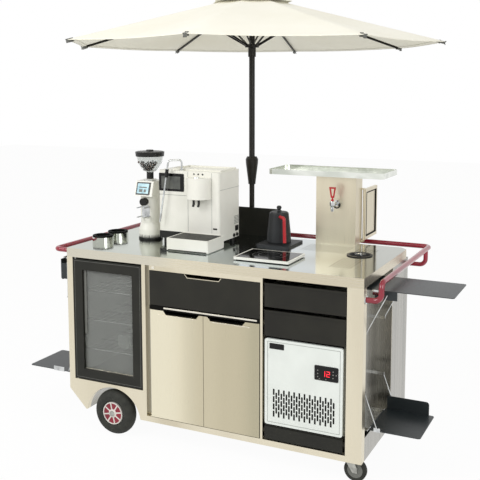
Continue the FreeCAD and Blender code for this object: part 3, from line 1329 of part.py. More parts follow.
def build_ribs():
    """Eight ribs and eight stretchers, each lapped beside its rib."""
    rib_line = ("cos(rib_droop)", "-sin(rib_droop)")
    stretch_line = (f"{STRETCH_X} / {STRETCH_LONG}", f"{STRETCH_Z} / {STRETCH_LONG}")
    rib_outline = bar_corners(("crown_radius", "0"), rib_line, "5.5", "rib_length", "rib_tall")
    stretcher_outline = bar_corners(
        ("runner_radius", "-runner_drop"), stretch_line, "4.5", f"{STRETCH_LONG} + 3", "stretcher_tall"
    )
    joint = (JOINT_X, JOINT_Z)
    for number in range(RIBS):
        angle = f"rib_phase + {number * 360 / RIBS}"
        rib = plate(f"rib_bar_{number + 1}", "XZ_Plane", rib_outline, "rib_thick", start="rib_thick / 2")
        hole = ("crown_radius", "0")
        punch(rib, "XZ_Plane", lambda sketch: draw_circle(sketch, hole, "pivot_radius + 0.1"), "rib_thick")
        punch(rib, "XZ_Plane", lambda sketch: draw_circle(sketch, joint, "pivot_radius + seat"), "rib_thick")
        stretcher = plate(
            f"stretcher_bar_{number + 1}", "XZ_Plane", stretcher_outline, "stretcher_thick",
            start=f"stretcher_thick / 2 - {STRETCHER_OFFSET}",
        )
        hole_low = ("runner_radius", "-runner_drop")
        punch(stretcher, "XZ_Plane", lambda sketch: draw_circle(sketch, hole_low, "pivot_radius + 0.1"), "20")
        add_pin(stretcher, joint, "rib_thick / 2", f"rib_thick / 2 + {STRETCHER_OFFSET}")
        for body in (rib, stretcher):
            seat(body, "mast_x", MAST_Y, "crown_height")
            body.setExpression("Placement.Rotation.Angle", formula(angle))
        node(f"rib_{number + 1}", rib)
        node(f"stretcher_{number + 1}", stretcher)


def octagon(name, radius, height):
    """An eight-sided outline with a corner over each rib."""
    item = DOC.addObject("Part::RegularPolygon", name)
    item.Polygon = RIBS
    tie(item, Circumradius=radius)
    seat(item, "mast_x", MAST_Y, height)
    item.setExpression("Placement.Rotation.Angle", formula("rib_phase"))
    return item


def pyramid(name, wide, low, narrow, high):
    """A solid between two octagons."""
    item = DOC.addObject("Part::Loft", name)
    item.Sections = [octagon(name + "_wide", wide, low), octagon(name + "_narrow", narrow, high)]
    item.Solid = True
    item.Ruled = True
    return item


def cloth_cone(name, wide, narrow, lift):
    """A thin eight-sided sheet parallel to the ribs, a little above them."""
    def height(radius, extra):
        return f"crown_height + {lift} + {extra} - (({radius}) - crown_radius) * tan(rib_droop)"
    outer = pyramid(name + "_outer", wide, height(wide, "cloth"), narrow, height(narrow, "cloth"))
    inner = pyramid(name + "_inner", wide, height(wide, "0"), narrow, height(narrow, "0"))
    middle = rod(name + "_middle", "z", "mast_x", MAST_Y, "crown_height - 60", f"{narrow} + 1", "120")
    return without(name, outer, inner, middle)


def build_canopy():
    """The canopy: a main sheet and the vent flap over its open middle."""
    rim = "crown_radius + rib_length * cos(rib_droop) + 4"
    main = cloth_cone("canopy_main", rim, "80", "rib_tall / 2 + 0.8")
    vent = cloth_cone("canopy_vent", "210", "mast_radius + 7", "rib_tall / 2 + 16")
    node("canopy", main, vent)


def build_tower():
    """The water tower with its open back, tap and hinge ears, and the tray on top."""
    x = ("tower_x", "tower_x + tower_width")
    y = ("tower_front", "tower_front + tower_depth")
    z = ("worktop_height", "worktop_height + tower_height")
    column = block("tower_column", x, y, z)
    hollow = block("tower_hollow", ("tower_x + tower_wall", "tower_x + tower_width - tower_wall"),
                   ("tower_front + tower_wall", f"{y[1]} + 1"), ("worktop_height + 14", f"{z[1]} - 72"))
    shell = without("tower_shell", column, hollow)
    ears = []
    pivot_x, pivot_y = "tower_x + tower_width + 7", f"{y[1]} + 6.5"
    for end, low in (("low", "worktop_height + 5"), ("high", f"{z[1]} - 70 + seat")):
        ear_y = (f"{y[1]} - 14", f"{pivot_y} + 5")
        ears.append(block(f"tower_{end}_ear", (f"{x[1]} - 3", f"{pivot_x} + 5"), ear_y, (low, f"{low} + 6")))
    tap = build_tap()
    node("water_tower", joined("tower_weld", shell, *ears), *tap)
    build_tower_door(pivot_x, pivot_y)
    build_tray(z[1])


def build_tap():
    """The chrome tap: flange, shank, valve body and nozzle."""
    x, z = "tower_x + tower_width / 2 + 6", "worktop_height + tap_height"
    valve_x = f"{x} - 2"
    flange = rod("tap_flange", "y", x, "tower_front - 8", z, "15", "8")
    shank = rod("tap_shank", "y", x, "tower_front - 52", z, "8", "46")
    valve = turned("tap_valve", [
        ("0", "-34"), ("7", "-34"), ("9", "-12"), ("13", "-4"), ("14", "10"), ("11", "16"), ("0", "16"),
    ], valve_x, "tower_front - 60", z)
    return [joined("tap_weld", flange, shank, valve)]


def build_tap_lever():
    """The red triangular lever that stands on the tap, with the round foot it turns on."""
    x, y = "tower_x + tower_width / 2 + 4", "tower_front - 60"
    z = "worktop_height + tap_height + 16 + seat + lever_foot"
    foot = rod("lever_foot_round", "x", f"{x} - 6", y, z, "lever_foot", "12")
    stem = rod("lever_stem", "z", x, y, z, "lever_foot - 1", "14")
    outer = plate("lever_loop", "XZ_Plane", [("-8", "0"), ("8", "0"), ("17", "52"), ("-17", "52")], "6",
                  x, f"{y} - 3", f"{z} + 12")
    punch(outer, "XZ_Plane",
          lambda sketch: draw_outline(sketch, [("-3", "8"), ("3", "8"), ("9", "44"), ("-9", "44")]))
    node("tap_lever", joined("lever_weld", foot, stem, outer))


def build_tower_door(pivot_x, pivot_y):
    """The tower's back door, standing open on its hinge."""
    near_x = "tower_x + tower_width + 1"
    y = (f"{pivot_y} + 2", f"{pivot_y} + tower_door_width")
    z = ("worktop_height + 11 + seat", "worktop_height + tower_height - 70")
    wide = f"({y[1]}) - ({y[0]})"
    tall = f"({z[1]}) - ({z[0]})"
    door = plate("tower_door_sheet", "YZ_Plane", [("0", "0"), (wide, "0"), (wide, tall), ("0", tall)],
                 "tower_door_thick", near_x, y[0], z[0])
    groove = [("16", "16"), (f"{wide} - 16", "16"), (f"{wide} - 16", f"{tall} - 16"), ("16", f"{tall} - 16")]
    punch(door, "YZ_Plane", lambda sketch: draw_outline(sketch, groove), "tower_door_thick - 4")
    barrel = rod("tower_door_barrel", "z", pivot_x, pivot_y, z[0], "4", tall)
    gasket_outer = block("gasket_outer",
                         (f"{near_x} + tower_door_thick - 4", f"{near_x} + tower_door_thick + 1"),
                         (f"{y[0]} + 16", f"{y[1]} - 16"), (f"{z[0]} + 16", f"{z[1]} - 16"))
    gasket_inner = block("gasket_inner",
                         (f"{near_x} + tower_door_thick - 5", f"{near_x} + tower_door_thick + 2"),
                         (f"{y[0]} + 21", f"{y[1]} - 21"), (f"{z[0]} + 21", f"{z[1]} - 21"))
    node("tower_door", joined("tower_door_weld", door, barrel),
         without("tower_gasket", gasket_outer, gasket_inner))


def build_tray(bottom):
    """The shallow steel tray with rounded corners on top of the tower."""
    x = ("tray_x", "tray_x + tray_length")
    y = ("tower_front - 40", "tower_front - 40 + tray_depth")
    outside = rounded_block("tray_outside", x, y, (bottom, f"{bottom} + tray_height"), "tray_corner")
    inner_x = (f"{x[0]} + tray_wall", f"{x[1]} - tray_wall")
    inner_y = (f"{y[0]} + tray_wall", f"{y[1]} - tray_wall")
    inside = rounded_block("tray_inside", inner_x, inner_y,
                           (f"{bottom} + tray_wall", f"{bottom} + tray_height + 5"),
                           "tray_corner - tray_wall")
    node("tower_tray", without("tray_shell", outside, inside))


def build_machine():
    """The bean-to-cup machine: case on feet, brew cover and drip tray."""
    x = ("machine_x", "machine_x + machine_width")
    y = ("machine_front", "machine_front + machine_depth")
    z = ("worktop_height + machine_feet", "worktop_height + machine_feet + machine_height")
    case = rounded_block("machine_case", x, y, z, "14")
    feet = []
    for number, (foot_x, foot_y) in enumerate(((x[0], y[0]), (x[1], y[0]), (x[0], y[1]), (x[1], y[1]))):
        step_x = "+ 30" if foot_x == x[0] else "- 30"
        step_y = "+ 26" if foot_y == y[0] else "- 26"
        feet.append(rod(f"machine_foot_{number}", "z", f"{foot_x} {step_x}", f"{foot_y} {step_y}",
                        "worktop_height", "14", "machine_feet"))
    cover_x = "machine_x + machine_width - 108"
    cover = rod("brew_round", "z", cover_x, "machine_front", f"{z[1]} - 26 - brew_height", "brew_radius",
                "brew_height")
    behind = block("brew_behind", ("machine_x", x[1]), ("machine_front", y[1]), ("worktop_height", z[1]))
    drip_x = (f"{x[1]} + 23 - drip_width", f"{x[1]} + 23")
    drip_y = ("machine_front - drip_depth", "machine_front")
    drip_z = ("worktop_height + 4", "worktop_height + 4 + drip_height")
    drip = block("drip_case", drip_x, drip_y, drip_z)
    drip_foot = block("drip_foot", (f"{drip_x[0]} + 8", f"{drip_x[1]} - 8"), (f"{drip_y[0]} + 8", drip_y[1]),
                      ("worktop_height", drip_z[0]))
    well = block("drip_well", (f"{drip_x[0]} + 5", f"{drip_x[1]} - 5"),
                 (f"{drip_y[0]} + 5", f"{drip_y[1]} - 3"),
                 (f"{drip_z[1]} - 6", f"{drip_z[1]} + 4"))
    bars = []
    for number in range(DRIP_BARS):
        step = f"({drip_depth_inside()}) / {DRIP_BARS}"
        low = f"{drip_y[0]} + 5 + {number} * {step} + 2"
        bars.append(block(f"drip_bar_{number}", (f"{drip_x[0]} + 5", f"{drip_x[1]} - 5"),
                          (low, f"{low} + {step} - 4"),
                          (f"{drip_z[1]} - 4", f"{drip_z[1]} - 1")))
    node("coffee_machine", case, *feet, without("brew_cover", cover, behind),
         joined("drip_tray", without("drip_shell", drip, well), drip_foot), *bars)
    build_wand(x, y, z)


def drip_depth_inside():
    """Inside depth of the drip tray."""
    return "drip_depth - 8"


DRIP_BARS = 9


def build_wand(x, y, z):
    """The steam wand: a gooseneck out of the machine's top and a straight lance in front of it."""
    pivot = ("machine_x + 118", "machine_front + 28", z[1])
    base = rod("wand_base", "z", pivot[0], pivot[1], z[1], "9", "8")
    lance_y = "machine_front - 26"
    neck = bent_tube("wand_neck", [
        (pivot[0], pivot[1], f"{z[1]} + 8"),
        (pivot[0], pivot[1], f"{z[1]} + 52"),
        (f"{pivot[0]} - 44", lance_y, f"{z[1]} + 52"),
        (f"{pivot[0]} - 52", lance_y, f"{z[1]} + 6"),
    ], "15", "wand_radius")
    grip = bent_tube("wand_grip", [
        (f"{pivot[0]} - 51.5", lance_y, f"{z[1]} + 8"),
        (f"{pivot[0]} - 55", lance_y, f"{z[1]} - 14"),
        (f"{pivot[0]} - 58", lance_y, f"{z[1]} - 32"),
    ], "60", "wand_radius + 4")
    lance = bent_tube("wand_lance", [
        (f"{pivot[0]} - 57", lance_y, f"{z[1]} - 26"),
        (f"{pivot[0]} - 76", lance_y, f"{z[1]} - 140"),
        (f"{pivot[0]} - 96", lance_y, f"{z[1]} - 256"),
    ], "300", "wand_radius")
    node("steam_wand", joined("wand_weld", base, neck, grip, lance))


def build_grinder():
    """The coffee grinder: turned body, sloped screen head, spout and fork, clear hopper and lid."""
    x, y, base = "grinder_x", "grinder_y", "worktop_height"
    body = turned("grinder_body", [
        ("0", "0"), ("grinder_radius", "0"), ("grinder_radius", "8"), ("grinder_radius - 3", "8"),
        ("grinder_radius - 3", "28"), ("grinder_radius - 1", "28"), ("grinder_radius - 3", "52"),
        ("grinder_radius - 12", "84"), ("grinder_radius - 12", "300"), ("0", "300"),
    ], x, y, base)
    head = plate("grinder_head", "YZ_Plane",
                 [("-74", "226"), ("-30", "226"), ("46", "226"), ("46", "300"), ("-50", "300")],
                 "104", f"{x} - 52", y, base)
    screen = plate("grinder_screen", "YZ_Plane",
                   [("-72.1", "232"), ("-52.0", "294"), ("-54.5", "294.8"), ("-74.6", "232.8")],
                   "80", f"{x} - 42", y, base)
    spout = rod("grinder_spout", "y", x, f"{y} - 74", f"{base} + 196", "19", "30")
    neck = turned("grinder_neck",
                  [("0", "300"), ("34", "300"), ("34", "306"), ("18", "308"), ("18", "338"), ("0", "338")],
                  x, y, base)
    hopper = turned("hopper_glass", [
        ("0", "338"), ("16", "338"), ("36", "352"), ("hopper_radius - 12", "388"),
        ("hopper_radius - 4", "grinder_height - 28"),
        ("hopper_radius - 7", "grinder_height - 28"), ("hopper_radius - 15", "390"), ("34", "355"),
        ("14", "342"), ("0", "342"),
    ], x, y, base)
    lid = turned("hopper_lid", [
        ("0", "grinder_height - 28"), ("hopper_radius", "grinder_height - 28"),
        ("hopper_radius + 2", "grinder_height - 6"),
        ("hopper_radius - 4", "grinder_height - 4"), ("20", "grinder_height - 2"),
        ("18", "grinder_height + 4"), ("0", "grinder_height + 4"),
    ], x, y, base)
    fork = []
    for level in ("118", "166"):
        for side in (-1, 1):
            start = f"{x} + {side} * 20 - 3"
            fork.append(block(f"fork_{level}_{side + 1}", (start, f"{start} + 6"), (f"{y} - 96", f"{y} - 40"),
                              (f"{base} + {level}", f"{base} + {level} + 5")))
        fork.append(block(f"fork_{level}_plate", (f"{x} - 27", f"{x} + 27"), (f"{y} - 58", f"{y} - 46"),
                          (f"{base} + {level}", f"{base} + {level} + 5")))
    node("grinder", joined("grinder_case", body, head, spout, neck, *fork), screen, hopper, lid)


def build_kettle():
    """The gooseneck kettle on its base plate: tapered body, lid with knob, red handle."""
    x, y = "kettle_x", "kettle_y"
    base = rounded_block("kettle_base", (f"{x} - 82", f"{x} + 92"), (f"{y} - 96", f"{y} + 92"),
                         ("worktop_height", "worktop_height + 10"), "8")
    low = "worktop_height + 10"
    body = turned("kettle_body", [
        ("0", "0"), ("kettle_radius - 3", "0"), ("kettle_radius", "4"), ("kettle_radius - 2", "50"),
        ("kettle_top + 1", "kettle_height - 6"), ("kettle_top", "kettle_height"),
        ("kettle_top - 4", "kettle_height"),
        ("kettle_radius - 7", "50"), ("kettle_radius - 7", "5"), ("0", "5"),
    ], x, y, low)
    kettle_core = cone("kettle_core", "z", x, y, low, "kettle_radius + 1", "kettle_top + 1", "kettle_height")
    lid = turned("kettle_lid", [
        ("0", "kettle_height"), ("kettle_top - 3", "kettle_height"), ("kettle_top - 5", "kettle_height + 5"),
        ("9", "kettle_height + 9"), ("7", "kettle_height + 16"), ("12", "kettle_height + 22"),
        ("12", "kettle_height + 30"), ("7", "kettle_height + 35"), ("0", "kettle_height + 35"),
    ], x, y, low)
    reach = "kettle_radius + 34"
    handle = bent_tube("kettle_handle", [
        (f"{x} + 24", f"{y} - 42", f"{low} + kettle_height - 14"),
        (f"{x} + ({reach}) * 0.62", f"{y} - ({reach}) * 0.78", f"{low} + kettle_height - 14"),
        (f"{x} + ({reach}) * 0.68", f"{y} - ({reach}) * 0.84", f"{low} + 14"),
    ], "12", "8")
    spout = bent_tube("kettle_spout", [
        (f"{x} - 34", f"{y} + 40", f"{low} + 26"),
        (f"{x} - 62", f"{y} + 74", f"{low} + 40"),
        (f"{x} - 56", f"{y} + 68", f"{low} + 118"),
        (f"{x} - 72", f"{y} + 88", f"{low} + 136"),
    ], "14", "5")
    node("kettle", base, joined("kettle_shell", body, spout), lid,
         without("kettle_grip", handle, kettle_core))


def build_hob():
    """The flat hob: white frame with a black glass top, on feet."""
    x = ("hob_x", "hob_x + hob_width")
    y = ("hob_y", "hob_y + hob_depth")
    low = "worktop_height + 4"
    top = "worktop_height + hob_height"
    frame = rounded_block("hob_frame", x, y, (low, top), "6")
    inner_x = ("hob_x + 9", "hob_x + hob_width - 9")
    inner_y = ("hob_y + 9", "hob_y + hob_depth - 9")
    well = block("hob_well", inner_x, inner_y, (f"{top} - 3", f"{top} + 2"))
    pane = block("hob_glass", inner_x, inner_y, (f"{top} - 3", f"{top} - 0.5"))
    foot = block("hob_foot", ("hob_x + 10", "hob_x + hob_width - 10"),
                 ("hob_y + 10", "hob_y + hob_depth - 10"),
                 ("worktop_height", low))
    node("hob", joined("hob_case", without("hob_shell", frame, well), foot), pane)


def build_screen():
    """The low black screen at the back of the worktop, with a rounded upper corner."""
    end = "screen_width"
    corners = [("0", "0"), (end, "0"), (end, "screen_height"), ("0", "screen_height")]
    body = plate("back_screen_sheet", "XZ_Plane", corners, "8", "screen_x", "cart_depth - 12",
                 "worktop_height")
    top = value("screen_height") / 2
    round_edges(body, Vector(0, 1, 0), "12", lambda middle: middle.z > top)
    node("back_screen", body)


def faults():
    """Names of objects that failed, and of nodes without a sound shape."""
    names = []
    for item in DOC.Objects:
        if "Invalid" in item.State or "Error" in item.State:
            names.append(item.Name)
    for item in NODES:
        if item.Shape.isNull() or not item.Shape.isValid() or not item.Shape.Solids:
            names.append(item.Label)
    return names


def export():
    """Write each node to its own file."""
    os.makedirs("parts", exist_ok=True)
    for item in NODES:
        item.Shape.exportStep(f"parts/{item.Label}.step")


def main():
    """Build every sub-part, check them and write them."""
    fill_sheet()
    build_worktop()
    build_worktop_inserts()
    build_front_frame()
    build_cabinet_panels()
    build_drawers()
    build_doors()
    build_fridge()
    build_ice_maker()
    build_wheels()
    build_underframe()
    build_casters()
    build_handles()
    build_shelves()
    build_shelf_brackets()
    build_stays()
    build_umbrella_mast()
    build_runner()
    build_ribs()
    build_canopy()
    build_tower()
    build_tap_lever()
    build_machine()
    build_grinder()
    build_kettle()
    build_hob()
    build_screen()
    DOC.recompute()
    failed = faults()
    if failed:
        raise SystemExit("these pieces failed: " + ", ".join(failed))
    export()
    print(f"{len(NODES)} nodes written")


main()
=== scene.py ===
"""The coffee cart dressed for its picture.

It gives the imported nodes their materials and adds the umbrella's cloth and the small parts. Places are
written in cart millimetres, from the left front corner of the worktop down on the floor.
"""
import math

import bmesh
import bpy
from mathutils import Matrix, Vector


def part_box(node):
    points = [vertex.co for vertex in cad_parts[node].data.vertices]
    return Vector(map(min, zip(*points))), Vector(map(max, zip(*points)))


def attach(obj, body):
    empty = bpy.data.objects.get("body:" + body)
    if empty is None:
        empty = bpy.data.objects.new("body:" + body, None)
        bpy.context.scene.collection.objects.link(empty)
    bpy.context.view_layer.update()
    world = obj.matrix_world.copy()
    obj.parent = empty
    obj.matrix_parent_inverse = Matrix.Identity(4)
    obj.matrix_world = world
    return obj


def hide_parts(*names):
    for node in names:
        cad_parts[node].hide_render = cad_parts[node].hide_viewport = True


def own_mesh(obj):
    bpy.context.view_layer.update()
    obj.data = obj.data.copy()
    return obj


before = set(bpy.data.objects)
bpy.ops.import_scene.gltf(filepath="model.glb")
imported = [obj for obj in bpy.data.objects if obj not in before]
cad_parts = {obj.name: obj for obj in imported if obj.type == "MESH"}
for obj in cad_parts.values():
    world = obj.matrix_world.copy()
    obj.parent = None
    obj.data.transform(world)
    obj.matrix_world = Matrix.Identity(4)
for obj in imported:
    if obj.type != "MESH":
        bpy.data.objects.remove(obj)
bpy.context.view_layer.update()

CORNER = Vector((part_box("worktop")[0].x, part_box("worktop")[0].y, 0.0))
MAST = (650, 730)
CROWN = 2130
RIBS = 8
WHEEL = (255, 110)
MACHINE_FRONT = 310
MACHINE_SIDE = 675
GRINDER_X = 235
RINSER = (1340, 436)
HOB_TOP = 915
TILT = (0, -0.951, 0.308)


def at(x, y, z):
    """A place in cart millimetres as a vector in metres in the row frame."""
    return CORNER + Vector((x, y, z)) / 1000


def colour(text):
    """A screen colour such as d8d2c2 as the linear colour that a shader takes."""
    parts = [int(text[start:start + 2], 16) / 255 for start in (0, 2, 4)]
    linear = [part / 12.92 if part <= 0.04045 else ((part + 0.055) / 1.055) ** 2.4 for part in parts]
    return (*linear, 1.0)


# Materials

def new_material(name, **sockets):
    """A material with one principled shader whose even values sit on its own sockets."""
    material = bpy.data.materials.new(name)
    material.use_nodes = True
    shader = material.node_tree.nodes["Principled BSDF"]
    for label, number in sockets.items():
        shader.inputs[label.replace("_", " ")].default_value = number
    return material, material.node_tree, shader


def noise(tree, scale, detail=3.0):
    """A noise over the object's own metres, stretched by a scale for each axis."""
    place = tree.nodes.new("ShaderNodeTexCoord")
    stretch = tree.nodes.new("ShaderNodeMapping")
    stretch.inputs["Scale"].default_value = scale
    texture = tree.nodes.new("ShaderNodeTexNoise")
    texture.inputs["Scale"].default_value = 1.0
    texture.inputs["Detail"].default_value = detail
    tree.links.new(place.outputs["Object"], stretch.inputs["Vector"])
    tree.links.new(stretch.outputs["Vector"], texture.inputs["Vector"])
    return texture.outputs["Fac"]


def ramp(tree, factor, stops):
    """Colours at places along a factor."""
    node = tree.nodes.new("ShaderNodeValToRGB")
    elements = node.color_ramp.elements
    while len(elements) < len(stops):
        elements.new(0.5)
    for element, (place, tint) in zip(elements, stops):
        element.position = place
        element.color = colour(tint)
    tree.links.new(factor, node.inputs["Fac"])
    return node.outputs["Color"]


def span(tree, factor, low, high, start=0.3, end=0.7):
    """A factor stretched to run from low to high."""
    node = tree.nodes.new("ShaderNodeMapRange")
    for label, number in zip(("From Min", "From Max", "To Min", "To Max"), (start, end, low, high)):
        node.inputs[label].default_value = number
    tree.links.new(factor, node.inputs["Value"])
    return node.outputs["Result"]


def relief(tree, shader, height, strength, depth):
    """Fine relief from a height field."""
    node = tree.nodes.new("ShaderNodeBump")
    node.inputs["Strength"].default_value = strength
    node.inputs["Distance"].default_value = depth
    tree.links.new(height, node.inputs["Height"])
    tree.links.new(node.outputs["Normal"], shader.inputs["Normal"])


def painted_reflection_drift(tree, start, end):
    """A factor that runs from nought to one between two cart widths, for a painted reflection gradient along
    X.
    """
    place = tree.nodes.new("ShaderNodeTexCoord")
    parts = tree.nodes.new("ShaderNodeSeparateXYZ")
    tree.links.new(place.outputs["Object"], parts.inputs["Vector"])
    return span(tree, parts.outputs["X"], 0.0, 1.0, at(start, 0, 0).x, at(end, 0, 0).x)


def added(tree, first, second):
    """Two factors added up."""
    node = tree.nodes.new("ShaderNodeMath")
    tree.links.new(first, node.inputs[0])
    tree.links.new(second, node.inputs[1])
    return node.outputs["Value"]


def brushed(name, tints, bands, brush, rough=(0.26, 0.4), metal=1.0, across=None):
    """Brushed steel: broad soft bands of tint and fine brush lines in roughness and relief; with across, a
    painted reflection that grades the tint between two cart widths.
    """
    material, tree, shader = new_material(name, Metallic=metal)
    broad = noise(tree, bands, 2.0)
    # Painted reflection: across adds a tint gradient from one cart width to the other
    if across:
        broad = added(tree, span(tree, broad, -0.14, 0.14), painted_reflection_drift(tree, *across))
    tree.links.new(ramp(tree, broad, tints), shader.inputs["Base Color"])
    lines = noise(tree, brush, 4.0)
    tree.links.new(span(tree, lines, *rough), shader.inputs["Roughness"])
    relief(tree, shader, lines, 0.12, 0.0004)
    return material


def coated(name, dark, light, rough, grain=90.0, strength=0.05, **sockets):
    """Paint, lacquer or moulded plastic: a slight change of tint, uneven gloss and a fine skin."""
    material, tree, shader = new_material(name, **sockets)
    patches = noise(tree, (7, 7, 7), 3.0)
    tree.links.new(ramp(tree, patches, [(0.3, dark), (0.7, light)]), shader.inputs["Base Color"])
    skin = noise(tree, (grain * 6, grain * 6, grain * 6), 2.0)
    tree.links.new(span(tree, skin, *rough), shader.inputs["Roughness"])
    relief(tree, shader, skin, strength, 0.0005)
    return material


def rubber(name, dark, light):
    """Tyre rubber: dusty, dull and finely pitted."""
    material, tree, shader = new_material(name, Specular_IOR_Level=0.35)
    dust = noise(tree, (26, 26, 26), 5.0)
    tree.links.new(ramp(tree, dust, [(0.35, dark), (0.75, light)]), shader.inputs["Base Color"])
    pits = noise(tree, (520, 520, 520), 2.0)
    tree.links.new(span(tree, pits, 0.6, 0.85), shader.inputs["Roughness"])
    relief(tree, shader, pits, 0.25, 0.0006)
    return material


def clear(name, tint, share, rough=(0.02, 0.08), **sockets):
    """Glass or plastic that lets a share of the light through, with faint smears."""
    material, tree, shader = new_material(name, Transmission_Weight=share, **sockets)
    shader.inputs["Base Color"].default_value = colour(tint)
    smears = noise(tree, (9, 9, 4), 4.0)
    tree.links.new(span(tree, smears, *rough), shader.inputs["Roughness"])
    return material


def glowing(name, tints, strength):
    """A lit display element, with slightly uneven light."""
    material, tree, shader = new_material(name, Roughness=0.3, Emission_Strength=strength)
    cells = noise(tree, (30, 30, 30), 2.0)
    lit = ramp(tree, cells, [(0.3, tints[0]), (0.7, tints[1])])
    tree.links.new(lit, shader.inputs["Emission Color"])
    tree.links.new(lit, shader.inputs["Base Color"])
    return material


def woven(name, dark, light):
    """Canopy cloth: a fine plain weave, slight soiling and a soft sheen."""
    material, tree, shader = new_material(name, Sheen_Weight=0.25, Sheen_Roughness=0.5,
                                          Specular_IOR_Level=0.2)
    soil = noise(tree, (2.2, 2.2, 2.2), 4.0)
    tree.links.new(ramp(tree, soil, [(0.3, dark), (0.65, light)]), shader.inputs["Base Color"])
    weave = noise(tree, (900, 900, 900), 1.0)
    tree.links.new(span(tree, weave, 0.75, 0.95), shader.inputs["Roughness"])
    relief(tree, shader, weave, 0.3, 0.0006)
    return material


UPRIGHT_BRUSH = (900, 900, 6)
LEVEL_BRUSH = (5, 700, 700)
WORKTOP_REFLECTION_SPAN = (0, 1500)
DOOR_REFLECTION_SPAN = (472, 1030)
# Door steel tint with a painted reflection: lighter at the left door, darker towards the right
DOOR_STEEL_AND_REFLECTION_TINTS = [(0.05, "e9e2ca"), (0.22, "e3dbc2"), (0.42, "d2cab1"), (0.5, "cdc4aa"), (0.75, "c5bca2"),
              (0.98, "b8b198")]
# Worktop steel tint with a painted reflection that grades along the cart, bluish and lightest a little right
# of the middle
TOP_STEEL_AND_REFLECTION_TINTS = [(0.1, "aeb4a8"), (0.35, "b9bfb6"), (0.62, "c3ccd0"), (0.74, "bcc2c0"), (0.95, "a3a59c")]

steel_door = brushed("steel_door", DOOR_STEEL_AND_REFLECTION_TINTS, (4, 4, 0.12), UPRIGHT_BRUSH, across=DOOR_REFLECTION_SPAN)
steel_frame = brushed("steel_frame", [(0.3, "d2c9b2"), (0.5, "e2dac4"), (0.7, "d9d0ba")],
                      (3, 3, 0.6), UPRIGHT_BRUSH)
steel_side = brushed("steel_side", [(0.3, "8f8e88"), (0.5, "aba9a2"), (0.7, "9c9a93")],
                     (5, 12, 0.3), UPRIGHT_BRUSH, (0.2, 0.32))
# Painted shade: the walls of the right-hand recess get a much darker steel tint than the rest of the cart
recess_steel_painted_shade = brushed("recess_steel_painted_shade", [(0.3, "5c5a51"), (0.5, "98948a"), (0.7, "6f6c62")],
                       (3, 9, 0.3), UPRIGHT_BRUSH, (0.08, 0.16))
steel_polished = brushed("steel_polished", [(0.3, "c2c4be"), (0.7, "dfe0da")],
                         (5, 10, 0.4), UPRIGHT_BRUSH, (0.06, 0.12))
# Painted reflection on the worktop top and on its folded edge, grading along the cart
steel_top = brushed("steel_top", TOP_STEEL_AND_REFLECTION_TINTS, (1.4, 2.4, 2.4), LEVEL_BRUSH, (0.07, 0.14), across=WORKTOP_REFLECTION_SPAN)
steel_edge = brushed("steel_edge", [(0.2, "d5d0c0"), (0.45, "e0d8c2"), (0.8, "d3cab4")],
                     (2.2, 2, 4), LEVEL_BRUSH, (0.2, 0.3), across=WORKTOP_REFLECTION_SPAN)
steel_tower = brushed("steel_tower", [(0.3, "cdc4ad"), (0.5, "ddd4bd"), (0.7, "d3cab3")],
                      (6, 6, 0.5), UPRIGHT_BRUSH)
steel_tray = brushed("steel_tray", [(0.3, "c4c8bf"), (0.5, "eceee7"), (0.7, "d4d8cf")],
                     (4, 6, 9), LEVEL_BRUSH, (0.1, 0.22))
steel_bright = brushed("steel_bright", [(0.3, "d8d3c4"), (0.7, "f0ece0")],
                       (12, 12, 3), UPRIGHT_BRUSH, (0.2, 0.3))
zinc = brushed("zinc", [(0.3, "8d8d88"), (0.7, "b9b9b2")], (40, 40, 40), (120, 120, 120), (0.3, 0.5))
chrome = brushed("chrome", [(0.3, "b2b4b4"), (0.7, "dddfdf")], (30, 30, 30), (60, 60, 60), (0.04, 0.12))
# Dark steel on the low panel round the front wheel, and painted shade inside the water tower
dark_steel_and_painted_shade = brushed("dark_steel_and_painted_shade", [(0.3, "15140f"), (0.7, "2b291f")],
                     (9, 9, 2), UPRIGHT_BRUSH, (0.3, 0.5), 0.6)
drawer_black = coated("drawer_black", "201f1b", "282721", (0.4, 0.52), Specular_IOR_Level=0.22)
frame_black = coated("frame_black", "1c1c18", "24241e", (0.36, 0.48), Specular_IOR_Level=0.25)
# Near black: painted shade in the gaps, slots, bores and worktop recess, and plain black on the door pull
# linings and the tower door gasket
black_and_painted_shade = coated("black_and_painted_shade", "060604", "0b0b08", (0.6, 0.8), Specular_IOR_Level=0.1)
shelf_black = coated("shelf_black", "1d2325", "262c2e", (0.3, 0.42), 60.0, Specular_IOR_Level=0.45)
red_tube = coated("red_tube", "7d0a22", "98102e", (0.12, 0.24), 40.0, 0.02,
                  Coat_Weight=0.5, Coat_Roughness=0.08)
red_plastic = coated("red_plastic", "a3101b", "bd1824", (0.28, 0.4))
rim_red = coated("rim_red", "6c0f22", "8a142c", (0.3, 0.45))
rim_light = coated("rim_light", "c9c4bf", "dedad3", (0.3, 0.45))
white_plastic = coated("white_plastic", "e2e1d8", "ebeae2", (0.28, 0.4))
ice_white = coated("ice_white", "d6dbd7", "dfe4e0", (0.3, 0.42))
fridge_white = coated("fridge_white", "a9a8a1", "bcbbb4", (0.35, 0.5))
black_plastic = coated("black_plastic", "121211", "1b1b19", (0.32, 0.45), Specular_IOR_Level=0.3)
gloss_black = coated("gloss_black", "060606", "0b0b0b", (0.05, 0.1), 30.0, 0.01, Specular_IOR_Level=0.3)
kettle_black = coated("kettle_black", "1a1b1d", "222426", (0.42, 0.55), 120.0, 0.1, Specular_IOR_Level=0.35)
grey_plastic = coated("grey_plastic", "5b5c58", "6e6f6a", (0.35, 0.5))
line_grey = coated("line_grey", "8a8e8a", "9a9e9a", (0.4, 0.6))
mast_black = coated("mast_black", "120f0a", "1c1912", (0.3, 0.45), Specular_IOR_Level=0.3)
tyre_rubber = rubber("tyre_rubber", "22231f", "34352f")
